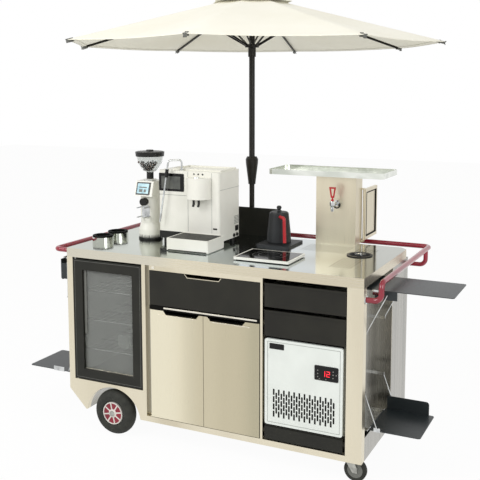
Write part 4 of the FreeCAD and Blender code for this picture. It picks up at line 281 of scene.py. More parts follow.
door_glass = clear("door_glass", "c9ccc8", 0.8, IOR=1.3)
clear_plastic = clear("clear_plastic", "e6e8e6", 0.96, IOR=1.25)
frosted_plastic = clear("frosted_plastic", "d8dcd8", 0.55, (0.2, 0.35), IOR=1.35)
bean_brown = coated("bean_brown", "2a170c", "4a2b18", (0.3, 0.45))
cloth = woven("canopy_cloth", "f6f3e2", "fdfbee")
screen_glow = glowing("screen_glow", ("7fa6b2", "b4d2da"), 0.3)
screen_grey = glowing("screen_grey", ("3f413e", "565853"), 0.12)
digit_red = glowing("digit_red", ("e81c34", "f03a4c"), 0.8)
digit_dim = glowing("digit_dim", ("6d6d68", "82827c"), 0.15)


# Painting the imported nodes

def solids_of(item):
    """The polygons of a node grouped by the solid they belong to, each with its box in cart millimetres."""
    mesh = item.data
    leaders = {}
    spots = [tuple(round(value * 1e5) for value in vertex.co) for vertex in mesh.vertices]

    def leader(spot):
        while leaders.setdefault(spot, spot) != spot:
            leaders[spot] = leaders[leaders[spot]]
            spot = leaders[spot]
        return spot

    for polygon in mesh.polygons:
        corners = [leader(spots[index]) for index in polygon.vertices]
        for corner in corners[1:]:
            leaders[leader(corner)] = leader(corners[0])
    groups = {}
    for polygon in mesh.polygons:
        groups.setdefault(leader(spots[polygon.vertices[0]]), []).append(polygon)
    found = []
    for polygons in groups.values():
        corners = [index for polygon in polygons for index in polygon.vertices]
        places = [(mesh.vertices[index].co - CORNER) * 1000 for index in corners]
        low = Vector(min(place[axis] for place in places) for axis in range(3))
        high = Vector(max(place[axis] for place in places) for axis in range(3))
        found.append((polygons, low, high))
    return found


def paint(name, base, *rules):
    """Give a node its base material, and others to the solids that pass a test on their box."""
    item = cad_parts[name]
    item.data.materials.clear()
    item.data.materials.append(base)
    for polygon in item.data.polygons:
        polygon.material_index = 0
    if not rules:
        return
    for polygons, low, high in solids_of(item):
        for material, test in rules:
            if test(low, high):
                index = item.data.materials.find(material.name)
                if index < 0:
                    item.data.materials.append(material)
                    index = len(item.data.materials) - 1
                for polygon in polygons:
                    polygon.material_index = index
                break


def paint_faces(name, material, test):
    """Give another material to the faces of a node whose middle and normal pass a test."""
    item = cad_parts[name]
    item.data.materials.append(material)
    index = len(item.data.materials) - 1
    for polygon in item.data.polygons:
        if test((polygon.center - CORNER) * 1000, polygon.normal):
            polygon.material_index = index


def paint_cabinet():
    """Frame, panels, doors and drawers."""
    # Painted shade: the divider strips seen in the gaps beside the doors and the ice maker get near black
    paint("front_frame", steel_frame,
          (black_and_painted_shade, lambda low, high: abs(low.x - 1034) < 2 and high.x - low.x < 14))
    paint("cabinet_panels", steel_side,
          (black_and_painted_shade, lambda low, high: low.x > 440 and high.x < 470),
          (black_and_painted_shade, lambda low, high: 1030 < low.x < 1046 and high.x < 1047),
          (recess_steel_painted_shade, lambda low, high: low.x > 1420 and low.y < 60 and high.y < 440),
          (dark_steel_and_painted_shade, lambda low, high: high.z < 260 and low.x < 120 and high.x > 300))
    for name, centre in (("left_door", 611), ("right_door", 891)):
        paint(name, steel_door)
        paint_faces(name, black_and_painted_shade,
                    lambda middle, normal, centre=centre: in_notch(middle, normal, centre, 632.5))
    for name in ("middle_drawer", "upper_drawer", "lower_drawer"):
        paint(name, drawer_black, (zinc, lambda low, high: high.y > 100))
    paint_faces("middle_drawer", steel_edge, lambda middle, normal: in_notch(middle, normal, 751, 816.5))
    # Painted shade in the gap between the doors and the middle drawer
    paint_faces("front_frame", black_and_painted_shade,
                lambda middle, normal: 466 < middle.x < 1036 and 651 < middle.z < 672)
    paint("worktop", steel_top)
    paint_faces("worktop", steel_edge, lambda middle, normal: abs(normal.z) < 0.5)
    paint("worktop_inserts", steel_top,
          (black_and_painted_shade, lambda low, high: high.x < 140 and high.z > 930),
          (steel_polished, lambda low, high: high.x < 140),
          (black_plastic, lambda low, high: 118 < high.x - low.x < 123 and high.y - low.y < 124))
    # Painted shade inside the two cup tubes
    for centre in (208, 340):
        paint_faces("worktop_inserts", black_and_painted_shade,
                    lambda middle, normal, centre=centre: bore_face(middle, normal, centre))
    # Painted shade: the walls and floor of the worktop recess at the right are darkened
    paint_faces("worktop_inserts", black_and_painted_shade,
                lambda middle, normal: 896 < middle.z < 899.9 and middle.x > 1000 and abs(normal.z) < 0.5)
    paint_faces("worktop", black_and_painted_shade,
                lambda middle, normal: 860 < middle.z < 899 and middle.x > 1000 and normal.z > 0.5)
    paint("handle_rails", red_tube)
    paint_faces("handle_rails", chrome, lambda middle, normal: 1499 < middle.x < 1506 and middle.z < 830)
    paint("shelf_brackets", chrome)
    paint("underframe", zinc)


def in_notch(middle, normal, centre, bottom):
    """Whether a face of a front belongs to the lining of its hand notch."""
    return abs(middle.x - centre) < 96 and middle.z > bottom and (middle.y < -1 or abs(normal.y) < 0.5)


def bore_face(middle, normal, centre):
    """Whether a face lies on the inside of a cup tube."""
    outward = Vector((middle.x - 66, middle.y - centre, 0))
    return outward.length < 60 and middle.z > 856 and normal.dot(outward) <= 0 and normal.z < 0.9


def paint_fittings():
    """Shelves, stays, wheels and casters."""
    for name in ("right_upper_shelf", "right_lower_shelf", "left_upper_shelf", "left_lower_shelf"):
        paint(name, shelf_black, (chrome, lambda low, high: high.y - low.y < 4 and high.x - low.x < 70))
    for name in ("right_upper_stays", "right_lower_stays", "left_upper_stays", "left_lower_stays"):
        paint(name, chrome)
    for name in ("front_wheel", "rear_wheel"):
        paint(name, tyre_rubber, (rim_light, lambda low, high: high.x - low.x < 120))
    for name in ("front_caster_fork", "rear_caster_fork"):
        paint(name, zinc)
    for name in ("front_caster_wheel", "rear_caster_wheel"):
        paint(name, tyre_rubber)
        paint_faces(name, grey_plastic,
                    lambda middle, normal: math.hypot(middle.x - 1457, middle.z - 50) < 34)


def paint_equipment():
    """Fridge, ice maker, tower and the things on the worktop."""
    paint("fridge_cabinet", fridge_white, (chrome, lambda low, high: high.z - low.z < 6))
    paint("fridge_door_frame", frame_black, (zinc, lambda low, high: high.x - low.x < 10))
    paint("fridge_door_glass", door_glass)
    paint("ice_maker_cabinet", ice_white, (frame_black, lambda low, high: high.z < 201))
    paint("ice_maker_front", ice_white, (gloss_black, lambda low, high: high.x - low.x < 120))
    # Painted shade: the walls of the ice maker's slots and the case front behind them get near black
    paint_faces("ice_maker_front", black_and_painted_shade,
                lambda middle, normal: 1075 < middle.x < 1395 and middle.z < 560 and 0.5 < middle.y < 13.5)
    paint_faces("ice_maker_cabinet", black_and_painted_shade,
                lambda middle, normal: 13 < middle.y < 15 and middle.z > 201)
    paint("water_tower", steel_tower, (chrome, lambda low, high: high.y < 642))
    # Painted shade: the inside of the tower, seen through its door opening, in dark steel
    paint_faces("water_tower", dark_steel_and_painted_shade,
                lambda middle, normal: 1050 < middle.x < 1250 and 645 < middle.y)
    paint("tap_lever", red_plastic)
    paint("tower_door", steel_tower)
    paint_faces("tower_door", black_and_painted_shade,
                lambda middle, normal: middle.x > 1263.5 and 755 < middle.y < 940 and 920 < middle.z < 1160
                and (middle.x > 1267 or abs(normal.x) < 0.5))
    paint("tower_tray", steel_tray)
    paint("coffee_machine", white_plastic,
          (black_plastic, lambda low, high: high.z < 926 and high.x - low.x < 40),
          (frame_black, lambda low, high: high.z < 963 and high.z - low.z < 5))
    paint("steam_wand", chrome)
    paint_faces("steam_wand", black_plastic,
                lambda middle, normal: 1232 < middle.z < 1274 and middle.y < 300)
    paint("grinder", white_plastic,
          (gloss_black, lambda low, high: high.z < 1200 and high.z - low.z < 80),
          (clear_plastic, lambda low, high: low.z > 1230 and high.z < 1330),
          (black_plastic, lambda low, high: low.z > 1320))
    paint_faces("grinder", black_plastic, grinder_dark)
    paint_faces("grinder", chrome, grinder_chrome)
    paint("kettle", kettle_black, (red_plastic, lambda low, high: low.x > 900 and high.z < 1060))
    paint("hob", white_plastic)
    paint_faces("hob", black_and_painted_shade, lambda middle, normal: middle.z < 904)
    paint("back_screen", frame_black)
    paint("umbrella_mast", mast_black, (zinc, lambda low, high: high.z < 860 and high.x - low.x > 50))
    paint("umbrella_runner", mast_black)
    for number in range(1, RIBS + 1):
        paint(f"rib_{number}", mast_black)
        paint(f"stretcher_{number}", mast_black)


def grinder_chrome(middle, normal):
    """Whether a face belongs to the grinder's fork or its collar."""
    fork = middle.y < 346 and 1010 < middle.z < 1075 and abs(middle.x - GRINDER_X) < 28
    return fork or 1200 < middle.z < 1207 and abs(normal.z) < 0.9


def grinder_dark(middle, normal):
    """Whether a face belongs to the grinder's black foot ring, spout or throat."""
    away = math.hypot(middle.x - GRINDER_X, middle.y - 390)
    spout = middle.y < 340 and math.hypot(middle.x - GRINDER_X, middle.z - 1096) < 19.6
    return middle.z < 920 or spout or 1207 < middle.z < 1240 and away < 19.5


# Mesh pieces

AXES = {"x": Matrix.Rotation(math.radians(90), 3, "Y"),
        "y": Matrix.Rotation(math.radians(90), 3, "X"),
        "z": Matrix.Identity(3)}


class Piece:
    """Gathers bevelled blocks, turned rings, bars, tubes and beans of one finish into one object."""

    def __init__(self):
        self.mesh = bmesh.new()

    def block(self, low, high, edge=1.0, segments=2):
        """A block between two cart corners with rounded edges."""
        low, high = at(*low), at(*high)
        made = bmesh.ops.create_cube(self.mesh, size=1.0)["verts"]
        for vertex in made:
            vertex.co = Vector(low[axis] if vertex.co[axis] < 0 else high[axis] for axis in range(3))
        edges = {line for vertex in made for line in vertex.link_edges}
        bmesh.ops.bevel(self.mesh, geom=list(edges), offset=edge / 1000, segments=segments, affect="EDGES")
        return self

    def ring(self, profile, centre, axis="z", steps=40):
        """A profile of (radius, height) corners turned about an axis through a cart place."""
        middle = at(*centre)
        turn = AXES[axis]
        rows = []
        for step in range(steps):
            angle = 2 * math.pi * step / steps
            row = []
            for radius, height in profile:
                spot = Vector((radius * math.cos(angle), radius * math.sin(angle), height)) / 1000
                row.append(self.mesh.verts.new(middle + turn @ spot))
            rows.append(row)
        for step in range(steps):
            this, following = rows[step], rows[(step + 1) % steps]
            for index in range(len(profile)):
                after = (index + 1) % len(profile)
                self.mesh.faces.new((this[index], this[after], following[after], following[index]))
        return self

    def bar(self, start, end, wide, tall, edge=0.6, facing=None):
        """A straight rounded bar between two cart places, its flat side towards facing."""
        start, end = at(*start), at(*end)
        along = (end - start).normalized()
        facing = facing or ((0, 0, 1) if abs(along.z) < 0.9 else (0, 1, 0))
        side = along.cross(Vector(facing)).normalized()
        up = side.cross(along)
        made = bmesh.ops.create_cube(self.mesh, size=1.0)["verts"]
        for vertex in made:
            middle = start if vertex.co.x < 0 else end
            vertex.co = middle + side * vertex.co.y * wide / 1000 + up * vertex.co.z * tall / 1000
        edges = {line for vertex in made for line in vertex.link_edges}
        bmesh.ops.bevel(self.mesh, geom=list(edges), offset=edge / 1000, segments=2, affect="EDGES")
        return self

    def tube(self, path, radius, steps=14):
        """A round tube along a path of cart places, closed at both ends."""
        places = [at(*spot) for spot in path]
        rows, side = [], None
        for index, place in enumerate(places):
            along = (places[min(index + 1, len(places) - 1)] - places[max(index - 1, 0)]).normalized()
            side = along.orthogonal() if side is None else side - along * side.dot(along)
            side.normalize()
            other = along.cross(side)
            row = []
            for step in range(steps):
                turn = 2 * math.pi * step / steps
                reach = side * math.cos(turn) + other * math.sin(turn)
                row.append(self.mesh.verts.new(place + reach * radius / 1000))
            rows.append(row)
        for this, following in zip(rows, rows[1:]):
            for step in range(steps):
                after = (step + 1) % steps
                self.mesh.faces.new((this[step], this[after], following[after], following[step]))
        self.mesh.faces.new(rows[0][::-1])
        self.mesh.faces.new(rows[-1])
        return self

    def bean(self, centre, turn):
        """A coffee bean: an egg shape with a crease along its flat side."""
        made = bmesh.ops.create_icosphere(self.mesh, subdivisions=2, radius=1.0)["verts"]
        spin = Matrix.Rotation(turn, 3, "Z") @ Matrix.Rotation(turn * 1.7, 3, "X")
        for vertex in made:
            x, y, z = vertex.co
            z = z * 0.55 if z > 0 else z * 0.8
            if z > 0 and abs(y) < 0.3:
                z -= 0.3 * (0.3 - abs(y))
            vertex.co = at(*centre) + spin @ Vector((x * 6.2, y * 4.4, z * 4.2)) / 1000
        return self

    def done(self, name, body, material, slot):
        """The finished object on its body."""
        bmesh.ops.recalc_face_normals(self.mesh, faces=self.mesh.faces)
        mesh = bpy.data.meshes.new(name)
        self.mesh.to_mesh(mesh)
        self.mesh.free()
        mesh.materials.append(material)
        for polygon in mesh.polygons:
            polygon.use_smooth = True
        mesh.set_sharp_from_angle(angle=math.radians(38))
        item = bpy.data.objects.new(name, mesh)
        bpy.context.scene.collection.objects.link(item)
        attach(item, body)
        return item


# Small parts that the CAD leaves out

def frame_lines(piece, low, high, wide):
    """Four flat bars round a rectangle on a front, between two cart corners."""
    piece.block(low, (low[0] + wide, high[1], high[2]), 0.3)
    piece.block((high[0] - wide, low[1], low[2]), high, 0.3)
    piece.block((low[0] + wide, low[1], low[2]), (high[0] - wide, high[1], low[2] + wide), 0.3)
    piece.block((low[0] + wide, low[1], high[2] - wide), (high[0] - wide, high[1], high[2]), 0.3)
    return piece


def digit(piece, left, base, wide, tall, depth, lit):
    """A seven-segment figure on a front; lit names its segments from a to g."""
    right, half, top = left + wide, base + tall / 2, base + tall
    spans = {"a": (left, top, right, top), "b": (right, half, right, top), "c": (right, base, right, half),
             "d": (left, base, right, base), "e": (left, base, left, half), "f": (left, half, left, top),
             "g": (left, half, right, half)}
    for key in lit:
        x0, z0, x1, z1 = spans[key]
        piece.block((x0 - 1.6, depth, z0 - 1.6), (x1 + 1.6, depth + 0.7, z1 + 1.6), 0.3)
    return piece


def build_fridge_parts():
    """The seal lines round the glass, a painted highlight round the door frame's edge, the lamp, and the box
    and jug on the bottom shelf.
    """
    trim = Piece()
    trim.block((78, 9, 296), (84, 14.5, 807), 0.6)
    trim.block((378.5, 9, 296), (382, 14.5, 807), 0.6)
    trim.block((84, 9, 803), (378.5, 14.5, 806), 0.6)
    trim.block((84, 9, 297), (378.5, 14.5, 300), 0.6)
    trim.block((84, 10, 306), (378.5, 14.5, 308.5), 0.6)
    trim.done("fridge_glass_trim", "fridge_door", steel_bright, "hardware")
    Piece().block((90, 10, 480), (104, 14.5, 796), 0.6).done(
        "fridge_glass_band", "fridge_door", grey_plastic, "appliance_black")
    # Painted highlight: a grey line round the edge of the black door frame
    frame_lines(Piece(), (44, -0.8, 262), (416, 0.2, 842), 1.6).done(
        "fridge_edge_painted_highlight", "fridge_door", grey_plastic, "appliance_black")
    Piece().ring([(0.6, 0), (5, 0), (5, 3), (3.5, 5), (0.6, 5.6)], (230, 120, 808)).done(
        "fridge_lamp", "cart", screen_glow, "ice_white")
    Piece().block((212, 110, 399.6), (288, 262, 462), 6, 4).done(
        "fridge_box", "cart", frosted_plastic, "glass_dark")
    jug = [(0.6, 0), (33, 0), (37, 8), (37, 96), (30, 112), (22, 118), (22, 126),
           (18, 126), (18, 116), (27, 108), (34, 94), (34, 10), (0.6, 6)]
    Piece().ring(jug, (336, 150, 399.6)).done("fridge_jug", "cart", frosted_plastic, "glass_dark")


def build_front_parts():
    """Painted highlights along the rail and the recess jamb and under the door notches, and the catch plate.
    """
    # Painted highlight: a bright bar along the rail
    Piece().block((544, -1.2, 659.5), (1018, 0.4, 666.5), 0.6).done(
        "rail_painted_highlight", "cart", steel_bright, "cabinet_steel")
    Piece().block((482, -1.4, 842), (497, 0.4, 854), 1).done("catch_plate", "cart", steel_bright, "hardware")
    # Painted highlight: a bright strip down the recess's far jamb
    Piece().block((1497, 430.5, 135), (1501, 434.5, 856), 0.8).done(
        "recess_jamb_painted_highlight", "cart", steel_bright, "cabinet_steel")
    # Painted highlight: a bright lip under each door's hand notch
    for left, body in ((516, "left_door"), (796, "right_door")):
        Piece().block((left, -3, 628.5), (left + 190, -1.6, 631), 0.6).done(
            f"{body}_lip_painted_highlight", body, steel_bright, "cabinet_steel")


def build_ice_parts():
    """Groove, blank plate, lit figures and painted shade in the slots of the ice maker's front."""
    frame_lines(Piece(), (1069, -0.7, 217), (1403, 0.2, 581), 1.8).done(
        "ice_groove", "ice_maker", line_grey, "ice_white")
    Piece().block((1079, -1.6, 549), (1147, 0.2, 574), 1.2, 3).done(
        "ice_plate", "ice_maker", gloss_black, "glass_dark")
    figures = Piece()
    digit(figures, 1325, 463, 10, 22, -2.6, "bc")
    digit(figures, 1344, 463, 12, 22, -2.6, "abged")
    figures.done("ice_figures", "ice_maker", digit_red, "lever_red")
    signs = Piece()
    for x, z in ((1303, 486), (1303, 472), (1303, 458), (1372, 488), (1372, 474), (1372, 460),
                 (1386, 474), (1311, 450), (1340, 450)):
        signs.ring([(0.5, 0), (2.6, 0), (2.6, 0.5), (0.5, 0.9)], (x, -2.1, z), "y", 16)
    signs.done("ice_signs", "ice_maker", digit_dim, "hardware")
    # Painted shade: dark blocks over the slots
    slot_painted_shade = Piece()
    for column in range(24):
        for row in range(3 if column % 2 else 4):
            x = 1099.5 + column * 12
            z = 257 + row * 33 + (16.5 if column % 2 else 0)
            slot_painted_shade.block((x - 3.7, -0.5, z - 13.6), (x + 3.7, 0.3, z + 13.6), 0.8, 1)
    slot_painted_shade.done("ice_slots_painted_shade", "ice_maker", black_and_painted_shade, "appliance_black")


def build_machine_parts():
    """Screen, seams, louvres, knobs, gallery and spouts of the coffee machine, and a painted shadow under
    its drip tray.
    """
    skin, outer = MACHINE_FRONT + 0.5, MACHINE_FRONT - 0.7
    Piece().block((338, MACHINE_FRONT - 3.5, 1163), (480, skin, 1251), 2.5, 3).done(
        "machine_bezel", "cart", gloss_black, "glass_dark")
    Piece().block((353, MACHINE_FRONT - 4.8, 1174), (461, MACHINE_FRONT - 3, 1237), 1, 2).done(
        "machine_screen", "cart", screen_grey, "glass_dark")
    seams = Piece()
    seams.block((336, outer, 1143), (502, skin, 1145), 0.3)
    seams.block((500.5, outer, 968), (502.5, skin, 1262), 0.3)
    seams.block((632.5, outer, 968), (634, skin, 1262), 0.3)
    seams.block((MACHINE_SIDE - 0.6, 316, 1178), (MACHINE_SIDE + 0.6, 526, 1179.6), 0.3)
    for index in range(6):
        base = 994 + index * 7.2
        seams.block((MACHINE_SIDE - 0.6, 468, base), (MACHINE_SIDE + 1.2, 524, base + 3.4), 0.5)
    seams.done("machine_seams", "cart", line_grey, "machine_white")
    dark = Piece()
    dark.block((MACHINE_SIDE - 1, 478, 957), (MACHINE_SIDE + 3, 512, 984), 1.5)
    for y in (462, 496):
        dark.ring([(0.5, 0), (9, 0), (8, 7), (0.5, 8)], (MACHINE_SIDE, y, 938), "x", 24)
    # Painted shadow: a dark line under the front of the drip tray
    dark.block((484, 144.5, 903.5), (690, 147.5, 908), 0.6)
    dark.block((340, MACHINE_FRONT - 4, 926), (476, MACHINE_FRONT + 0.6, 962), 1.2)
    for x in (536, 560, 584):
        button = [(0.5, 0), (4.2, 0), (4.2, 0.8), (0.5, 1.2)]
        dark.ring(button, (x, MACHINE_FRONT - 0.2, 1253), "y", 20)
    dark.block((640, MACHINE_FRONT - 1.4, 986), (662, MACHINE_FRONT + 0.6, 994), 0.8)
    dark.done("machine_details_and_painted_shadow", "cart", black_plastic, "appliance_black")
    rim = Piece()
    rim.block((392, 352, 1262), (662, 357, 1273), 1.5)
    rim.block((392, 515, 1262), (662, 520, 1273), 1.5)
    rim.block((392, 357, 1262), (397, 515, 1273), 1.5)
    rim.block((657, 357, 1262), (662, 515, 1273), 1.5)
    rim.done("machine_gallery", "cart", white_plastic, "machine_white")
    Piece().ring([(0.5, 0), (14, 0), (13, 3), (8, 4.5), (0.5, 5)], (567, 279, 1239)).done(
        "brew_cap", "cart", chrome, "hardware")
    spouts = Piece()
    for x in (553, 581):
        spouts.tube([(x, 275, 1136), (x, 275, 1112), (x, 268, 1100)], 6)
    spouts.done("brew_spouts", "cart", black_plastic, "appliance_black")


def build_grinder_parts():
    """The display with its generic marks, and the beans in the hopper."""
    Piece().bar((233, 317.0, 1140.4), (233, 332.4, 1187.6), 64, 2.4, 0.6, TILT).done(
        "grinder_display", "cart", screen_glow, "glass_dark")
    marks = Piece()
    marks.bar((222, 318.2, 1146.5), (222, 322.6, 1160.0), 20, 1.2, 0.3, TILT)
    marks.bar((246, 318.2, 1146.5), (246, 322.6, 1160.0), 12, 1.2, 0.3, TILT)
    marks.bar((233, 325.0, 1167.4), (233, 326.6, 1172.3), 44, 1.2, 0.3, TILT)
    marks.done("grinder_figures", "cart", grey_plastic, "appliance_black")
    beans = Piece()
    count, golden_turn = 110, 2.39996
    for index in range(count):
        turn = index * golden_turn
        height = 1252 + 44 * (index / count)
        reach = (16 + 36 * (index / count)) * math.sqrt((index % 11 + 0.6) / 11.6)
        beans.bean((GRINDER_X + reach * math.cos(turn), 373 + reach * math.sin(turn), height), turn)
    beans.done("grinder_beans", "cart", bean_brown, "drawer_black")


def build_wheel_parts():
    """Crimson web, light spokes, rim ring and hub cap of the two big wheels."""
    for body, face, way in (("front_wheel", -6, 1), ("rear_wheel", 706, -1)):
        web = [(14, 0.2), (50, 0.2), (50, 1.0), (14, 1.0)]
        edge = [(49, 0.2), (55, 0.2), (54, 3.2), (50, 3.2)]
        cap = [(0.5, 0.2), (21, 0.2), (20, 3.4), (13, 5.8), (0.5, 6.6)]
        for part, profile, steps, material, slot in (("web", web, 48, rim_red, "lever_red"),
                                                     ("ring", edge, 48, rim_light, "hardware"),
                                                     ("cap", cap, 32, rim_light, "hardware")):
            turned = [(radius, way * height) for radius, height in profile]
            Piece().ring(turned, (WHEEL[0], face, WHEEL[1]), "y", steps).done(
                f"{body}_{part}", body, material, slot)
        spokes = Piece()
        for index in range(8):
            turn = math.radians(45 * index + 12)
            ends = [(WHEEL[0] + reach * math.cos(turn), face - way * 1.6, WHEEL[1] + reach * math.sin(turn))
                    for reach in (17, 51)]
            spokes.bar(*ends, 6.5, 2.0, 0.6, (0, -1, 0))
        spokes.done(f"{body}_spokes", body, rim_light, "hardware")


def build_top_parts():
    """Hob glass with its rings, rinser arms and tap collar."""
    Piece().block((864, 104, HOB_TOP - 0.4), (1116, 291, HOB_TOP + 0.9), 0.5).done(
        "hob_glass", "cart", gloss_black, "glass_dark")
    rings = Piece()
    for inner, outer in ((78, 79.2), (52, 53.2)):
        rings.ring([(inner, 0), (outer, 0), (outer, 0.2), (inner, 0.2)], (990, 200, HOB_TOP + 0.9), "z", 64)
    rings.done("hob_marks", "cart", grey_plastic, "hardware")
    star = Piece().ring([(0.6, 0), (9, 0), (9, 4), (5, 6), (0.6, 6.6)], (*RINSER, 904), "z", 24)
    for index in range(5):
        turn = math.radians(72 * index + 20)
        end = (RINSER[0] + 26 * math.cos(turn), RINSER[1] + 26 * math.sin(turn), 905.5)
        star.bar((*RINSER, 905.5), end, 5, 3, 0.8)
    star.done("rinser_star", "cart", chrome, "hardware")
    Piece().ring([(13, 0), (19, 0), (19, 3), (15, 7), (13, 7)], (1154.5, 640, 1098), "y", 32).done(
        "tap_collar", "cart", black_plastic, "appliance_black")


# The umbrella's cloth

RIB_PHASE = 9
RIB_DROOP = math.radians(14.5)
HUB_RADIUS = 30
CLOTH_LIFT = 7.0
MAIN_SPAN = (82, 976)
VENT_SPAN = (26, 212)
CLOTH_SAG = 13
HEM_SCALLOP = 22


def cloth_point(angle, reach, across, span_end, lift, sag):
    """A point of the cloth: reach runs out along the rib, across runs from the rib to either seam."""
    radial = Vector((math.cos(angle), math.sin(angle), 0))
    tangent = Vector((-math.sin(angle), math.cos(angle), 0))
    half_turn = math.pi / RIBS
    swell = math.sin(abs(across) * math.pi / 2)
    share = (reach - HUB_RADIUS) / (span_end - HUB_RADIUS)
    reach = reach - HEM_SCALLOP * swell * max(share, 0) ** 6 * (1 if span_end > 500 else 0.3)
    chord = abs(across) * reach * math.sin(half_turn)
    side = math.copysign(1.0, across)
    spot = radial * reach + (tangent * side * math.cos(half_turn) - radial * math.sin(half_turn)) * chord
    hang = sag * swell * math.sin(min(max(share, 0), 1) * math.pi * 0.62)
    height = lift - (reach - HUB_RADIUS) * math.tan(RIB_DROOP) - hang
    return at(MAST[0] + spot.x, MAST[1] + spot.y, CROWN + height)


def cloth_gore(name, number, span_ends, lift, sag):
    """One gore of the cloth, centred on its rib, which it folds up with."""
    angle = math.radians(RIB_PHASE + 360 / RIBS * number)
    columns, rows = 24, 30
    mesh = bmesh.new()
    grid = []
    for row in range(rows + 1):
        reach = span_ends[0] + (span_ends[1] - span_ends[0]) * row / rows
        line = []
        for column in range(columns + 1):
            across = 2 * column / columns - 1
            line.append(mesh.verts.new(cloth_point(angle, reach, across, span_ends[1], lift, sag)))
        grid.append(line)
    for row in range(rows):
        for column in range(columns):
            this, following = grid[row], grid[row + 1]
            mesh.faces.new((this[column], following[column], following[column + 1], this[column + 1]))
    fold = Vector((0, 0, 0.0016))
    hem = [[mesh.verts.new(vertex.co - fold) for vertex in grid[row]] for row in (rows - 1, rows)]
    for column in range(columns):
        mesh.faces.new((hem[0][column], hem[0][column + 1], hem[1][column + 1], hem[1][column]))
        mesh.faces.new((hem[1][column], hem[1][column + 1], grid[rows][column + 1], grid[rows][column]))
    area = sum(face.calc_area() for face in mesh.faces)
    data = bpy.data.meshes.new(name)
    mesh.to_mesh(data)
    mesh.free()
    data.materials.append(cloth)
    for polygon in data.polygons:
        polygon.use_smooth = True
    item = bpy.data.objects.new(name, data)
    bpy.context.scene.collection.objects.link(item)
    body = f"rib_{number + 1}"
    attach(item, body)
    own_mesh(item)
    return item


def build_canopy():
    """The main cloth over the ribs and the vent flap over its open middle."""
    for number in range(RIBS):
        gore = cloth_gore(f"canopy_gore_{number + 1}", number, MAIN_SPAN, CLOTH_LIFT, CLOTH_SAG)
        if number == 0:
            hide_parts("canopy")
        cloth_gore(f"canopy_vent_{number + 1}", number, VENT_SPAN, CLOTH_LIFT + 17, 2)
    for number in range(RIBS):
        angle = math.radians(RIB_PHASE + 360 / RIBS * number)
        reach = MAIN_SPAN[1] - 2
        ends = [(MAST[0] + spot * math.cos(angle), MAST[1] + spot * math.sin(angle),
                 CROWN - (spot - HUB_RADIUS) * math.tan(RIB_DROOP)) for spot in (reach - 26, reach)]
        Piece().bar(*ends, 10, 13, 3).done(
            f"rib_tip_{number + 1}", f"rib_{number + 1}", grey_plastic, "appliance_black")


# Camera, light and floor

def build_camera():
    """The photograph's viewpoint, fitted to the cart's straight edges."""
    data = bpy.data.cameras.new("camera")
    data.sensor_width = 36.0
    data.lens = 61.5
    data.shift_x = -8 / 480
    data.shift_y = -60 / 480
    camera = bpy.data.objects.new("camera", data)
    right = Vector((0.9026, 0.4305, 0.0)).normalized()
    forward = Vector((-0.4276, 0.8965, -0.1167)).normalized()
    up = right.cross(forward)
    turn = Matrix((right, up, -forward)).transposed()
    camera.matrix_world = Matrix.Translation(at(2480, -3155, 1690)) @ turn.to_4x4()
    bpy.context.scene.collection.objects.link(camera)
    bpy.context.scene.camera = camera
    bpy.context.scene.view_settings.view_transform = "Standard"


def add_lamp(name, place, target, size, power):
    """A soft square lamp that faces a place."""
    data = bpy.data.lights.new(name, "AREA")
    data.size = size
    data.energy = power
    lamp = bpy.data.objects.new(name, data)
    lamp.location = at(*place)
    lamp.rotation_euler = (at(*target) - lamp.location).to_track_quat("-Z", "Y").to_euler()
    bpy.context.scene.collection.objects.link(lamp)


def seen_directly(tree):
    """One where the camera, a reflection or a clear body looks, zero where light is gathered."""
    path = tree.nodes.new("ShaderNodeLightPath")
    first = tree.nodes.new("ShaderNodeMath")
    second = tree.nodes.new("ShaderNodeMath")
    first.operation = second.operation = "MAXIMUM"
    tree.links.new(path.outputs["Is Camera Ray"], first.inputs[0])
    tree.links.new(path.outputs["Is Glossy Ray"], first.inputs[1])
    tree.links.new(first.outputs["Value"], second.inputs[0])
    tree.links.new(path.outputs["Is Transmission Ray"], second.inputs[1])
    return second.outputs["Value"]


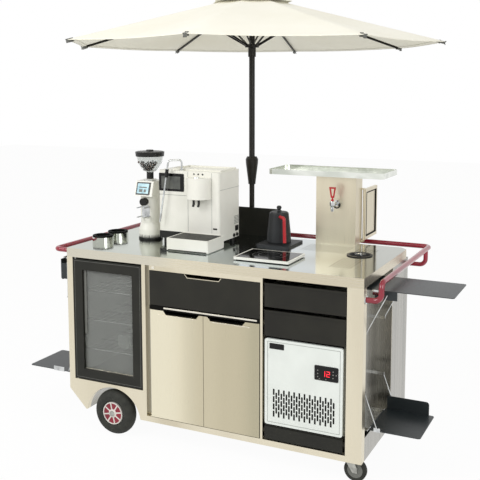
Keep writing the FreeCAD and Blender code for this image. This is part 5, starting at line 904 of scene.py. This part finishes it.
def build_world():
    """White to look at, and an even soft light."""
    world = bpy.data.worlds.new("studio")
    bpy.context.scene.world = world
    world.use_nodes = True
    tree = world.node_tree
    light = tree.nodes["Background"]
    light.inputs["Color"].default_value = (1.0, 0.985, 0.96, 1.0)
    light.inputs["Strength"].default_value = 0.62
    white = tree.nodes.new("ShaderNodeBackground")
    white.inputs["Color"].default_value = (1.0, 1.0, 1.0, 1.0)
    white.inputs["Strength"].default_value = 1.0
    mix = tree.nodes.new("ShaderNodeMixShader")
    tree.links.new(seen_directly(tree), mix.inputs["Fac"])
    tree.links.new(light.outputs["Background"], mix.inputs[1])
    tree.links.new(white.outputs["Background"], mix.inputs[2])
    tree.links.new(mix.outputs["Shader"], tree.nodes["World Output"].inputs["Surface"])


def build_floor():
    """A pale floor that keeps the cart's shadow and is near white to look at."""
    mesh = bmesh.new()
    bmesh.ops.create_grid(mesh, x_segments=8, y_segments=8, size=14.0)
    data = bpy.data.meshes.new("floor")
    mesh.to_mesh(data)
    mesh.free()
    floor = bpy.data.objects.new("floor", data)
    bpy.context.scene.collection.objects.link(floor)
    material, tree, shader = new_material("floor_paper", Roughness=0.9, Specular_IOR_Level=0.1)
    grain = noise(tree, (3, 3, 3), 4.0)
    tree.links.new(ramp(tree, grain, [(0.3, "f1f1ef"), (0.7, "f6f6f4")]), shader.inputs["Base Color"])
    glow = tree.nodes.new("ShaderNodeEmission")
    glow.inputs["Color"].default_value = (1.0, 1.0, 1.0, 1.0)
    glow.inputs["Strength"].default_value = 1.0
    share = tree.nodes.new("ShaderNodeMath")
    share.operation = "MULTIPLY"
    share.inputs[1].default_value = 0.95
    tree.links.new(seen_directly(tree), share.inputs[0])
    mix = tree.nodes.new("ShaderNodeMixShader")
    tree.links.new(share.outputs["Value"], mix.inputs["Fac"])
    tree.links.new(shader.outputs["BSDF"], mix.inputs[1])
    tree.links.new(glow.outputs["Emission"], mix.inputs[2])
    tree.links.new(mix.outputs["Shader"], tree.nodes["Material Output"].inputs["Surface"])
    data.materials.append(material)


build_camera()
build_world()
build_floor()
add_lamp("key_lamp", (-1700, -3200, 3600), (700, 300, 700), 2.6, 120)
add_lamp("side_lamp", (4300, -1800, 2600), (1200, 300, 700), 2.2, 60)
paint_cabinet()
paint_fittings()
paint_equipment()
build_fridge_parts()
build_front_parts()
build_ice_parts()
build_machine_parts()
build_grinder_parts()
build_wheel_parts()
build_top_parts()
build_canopy()
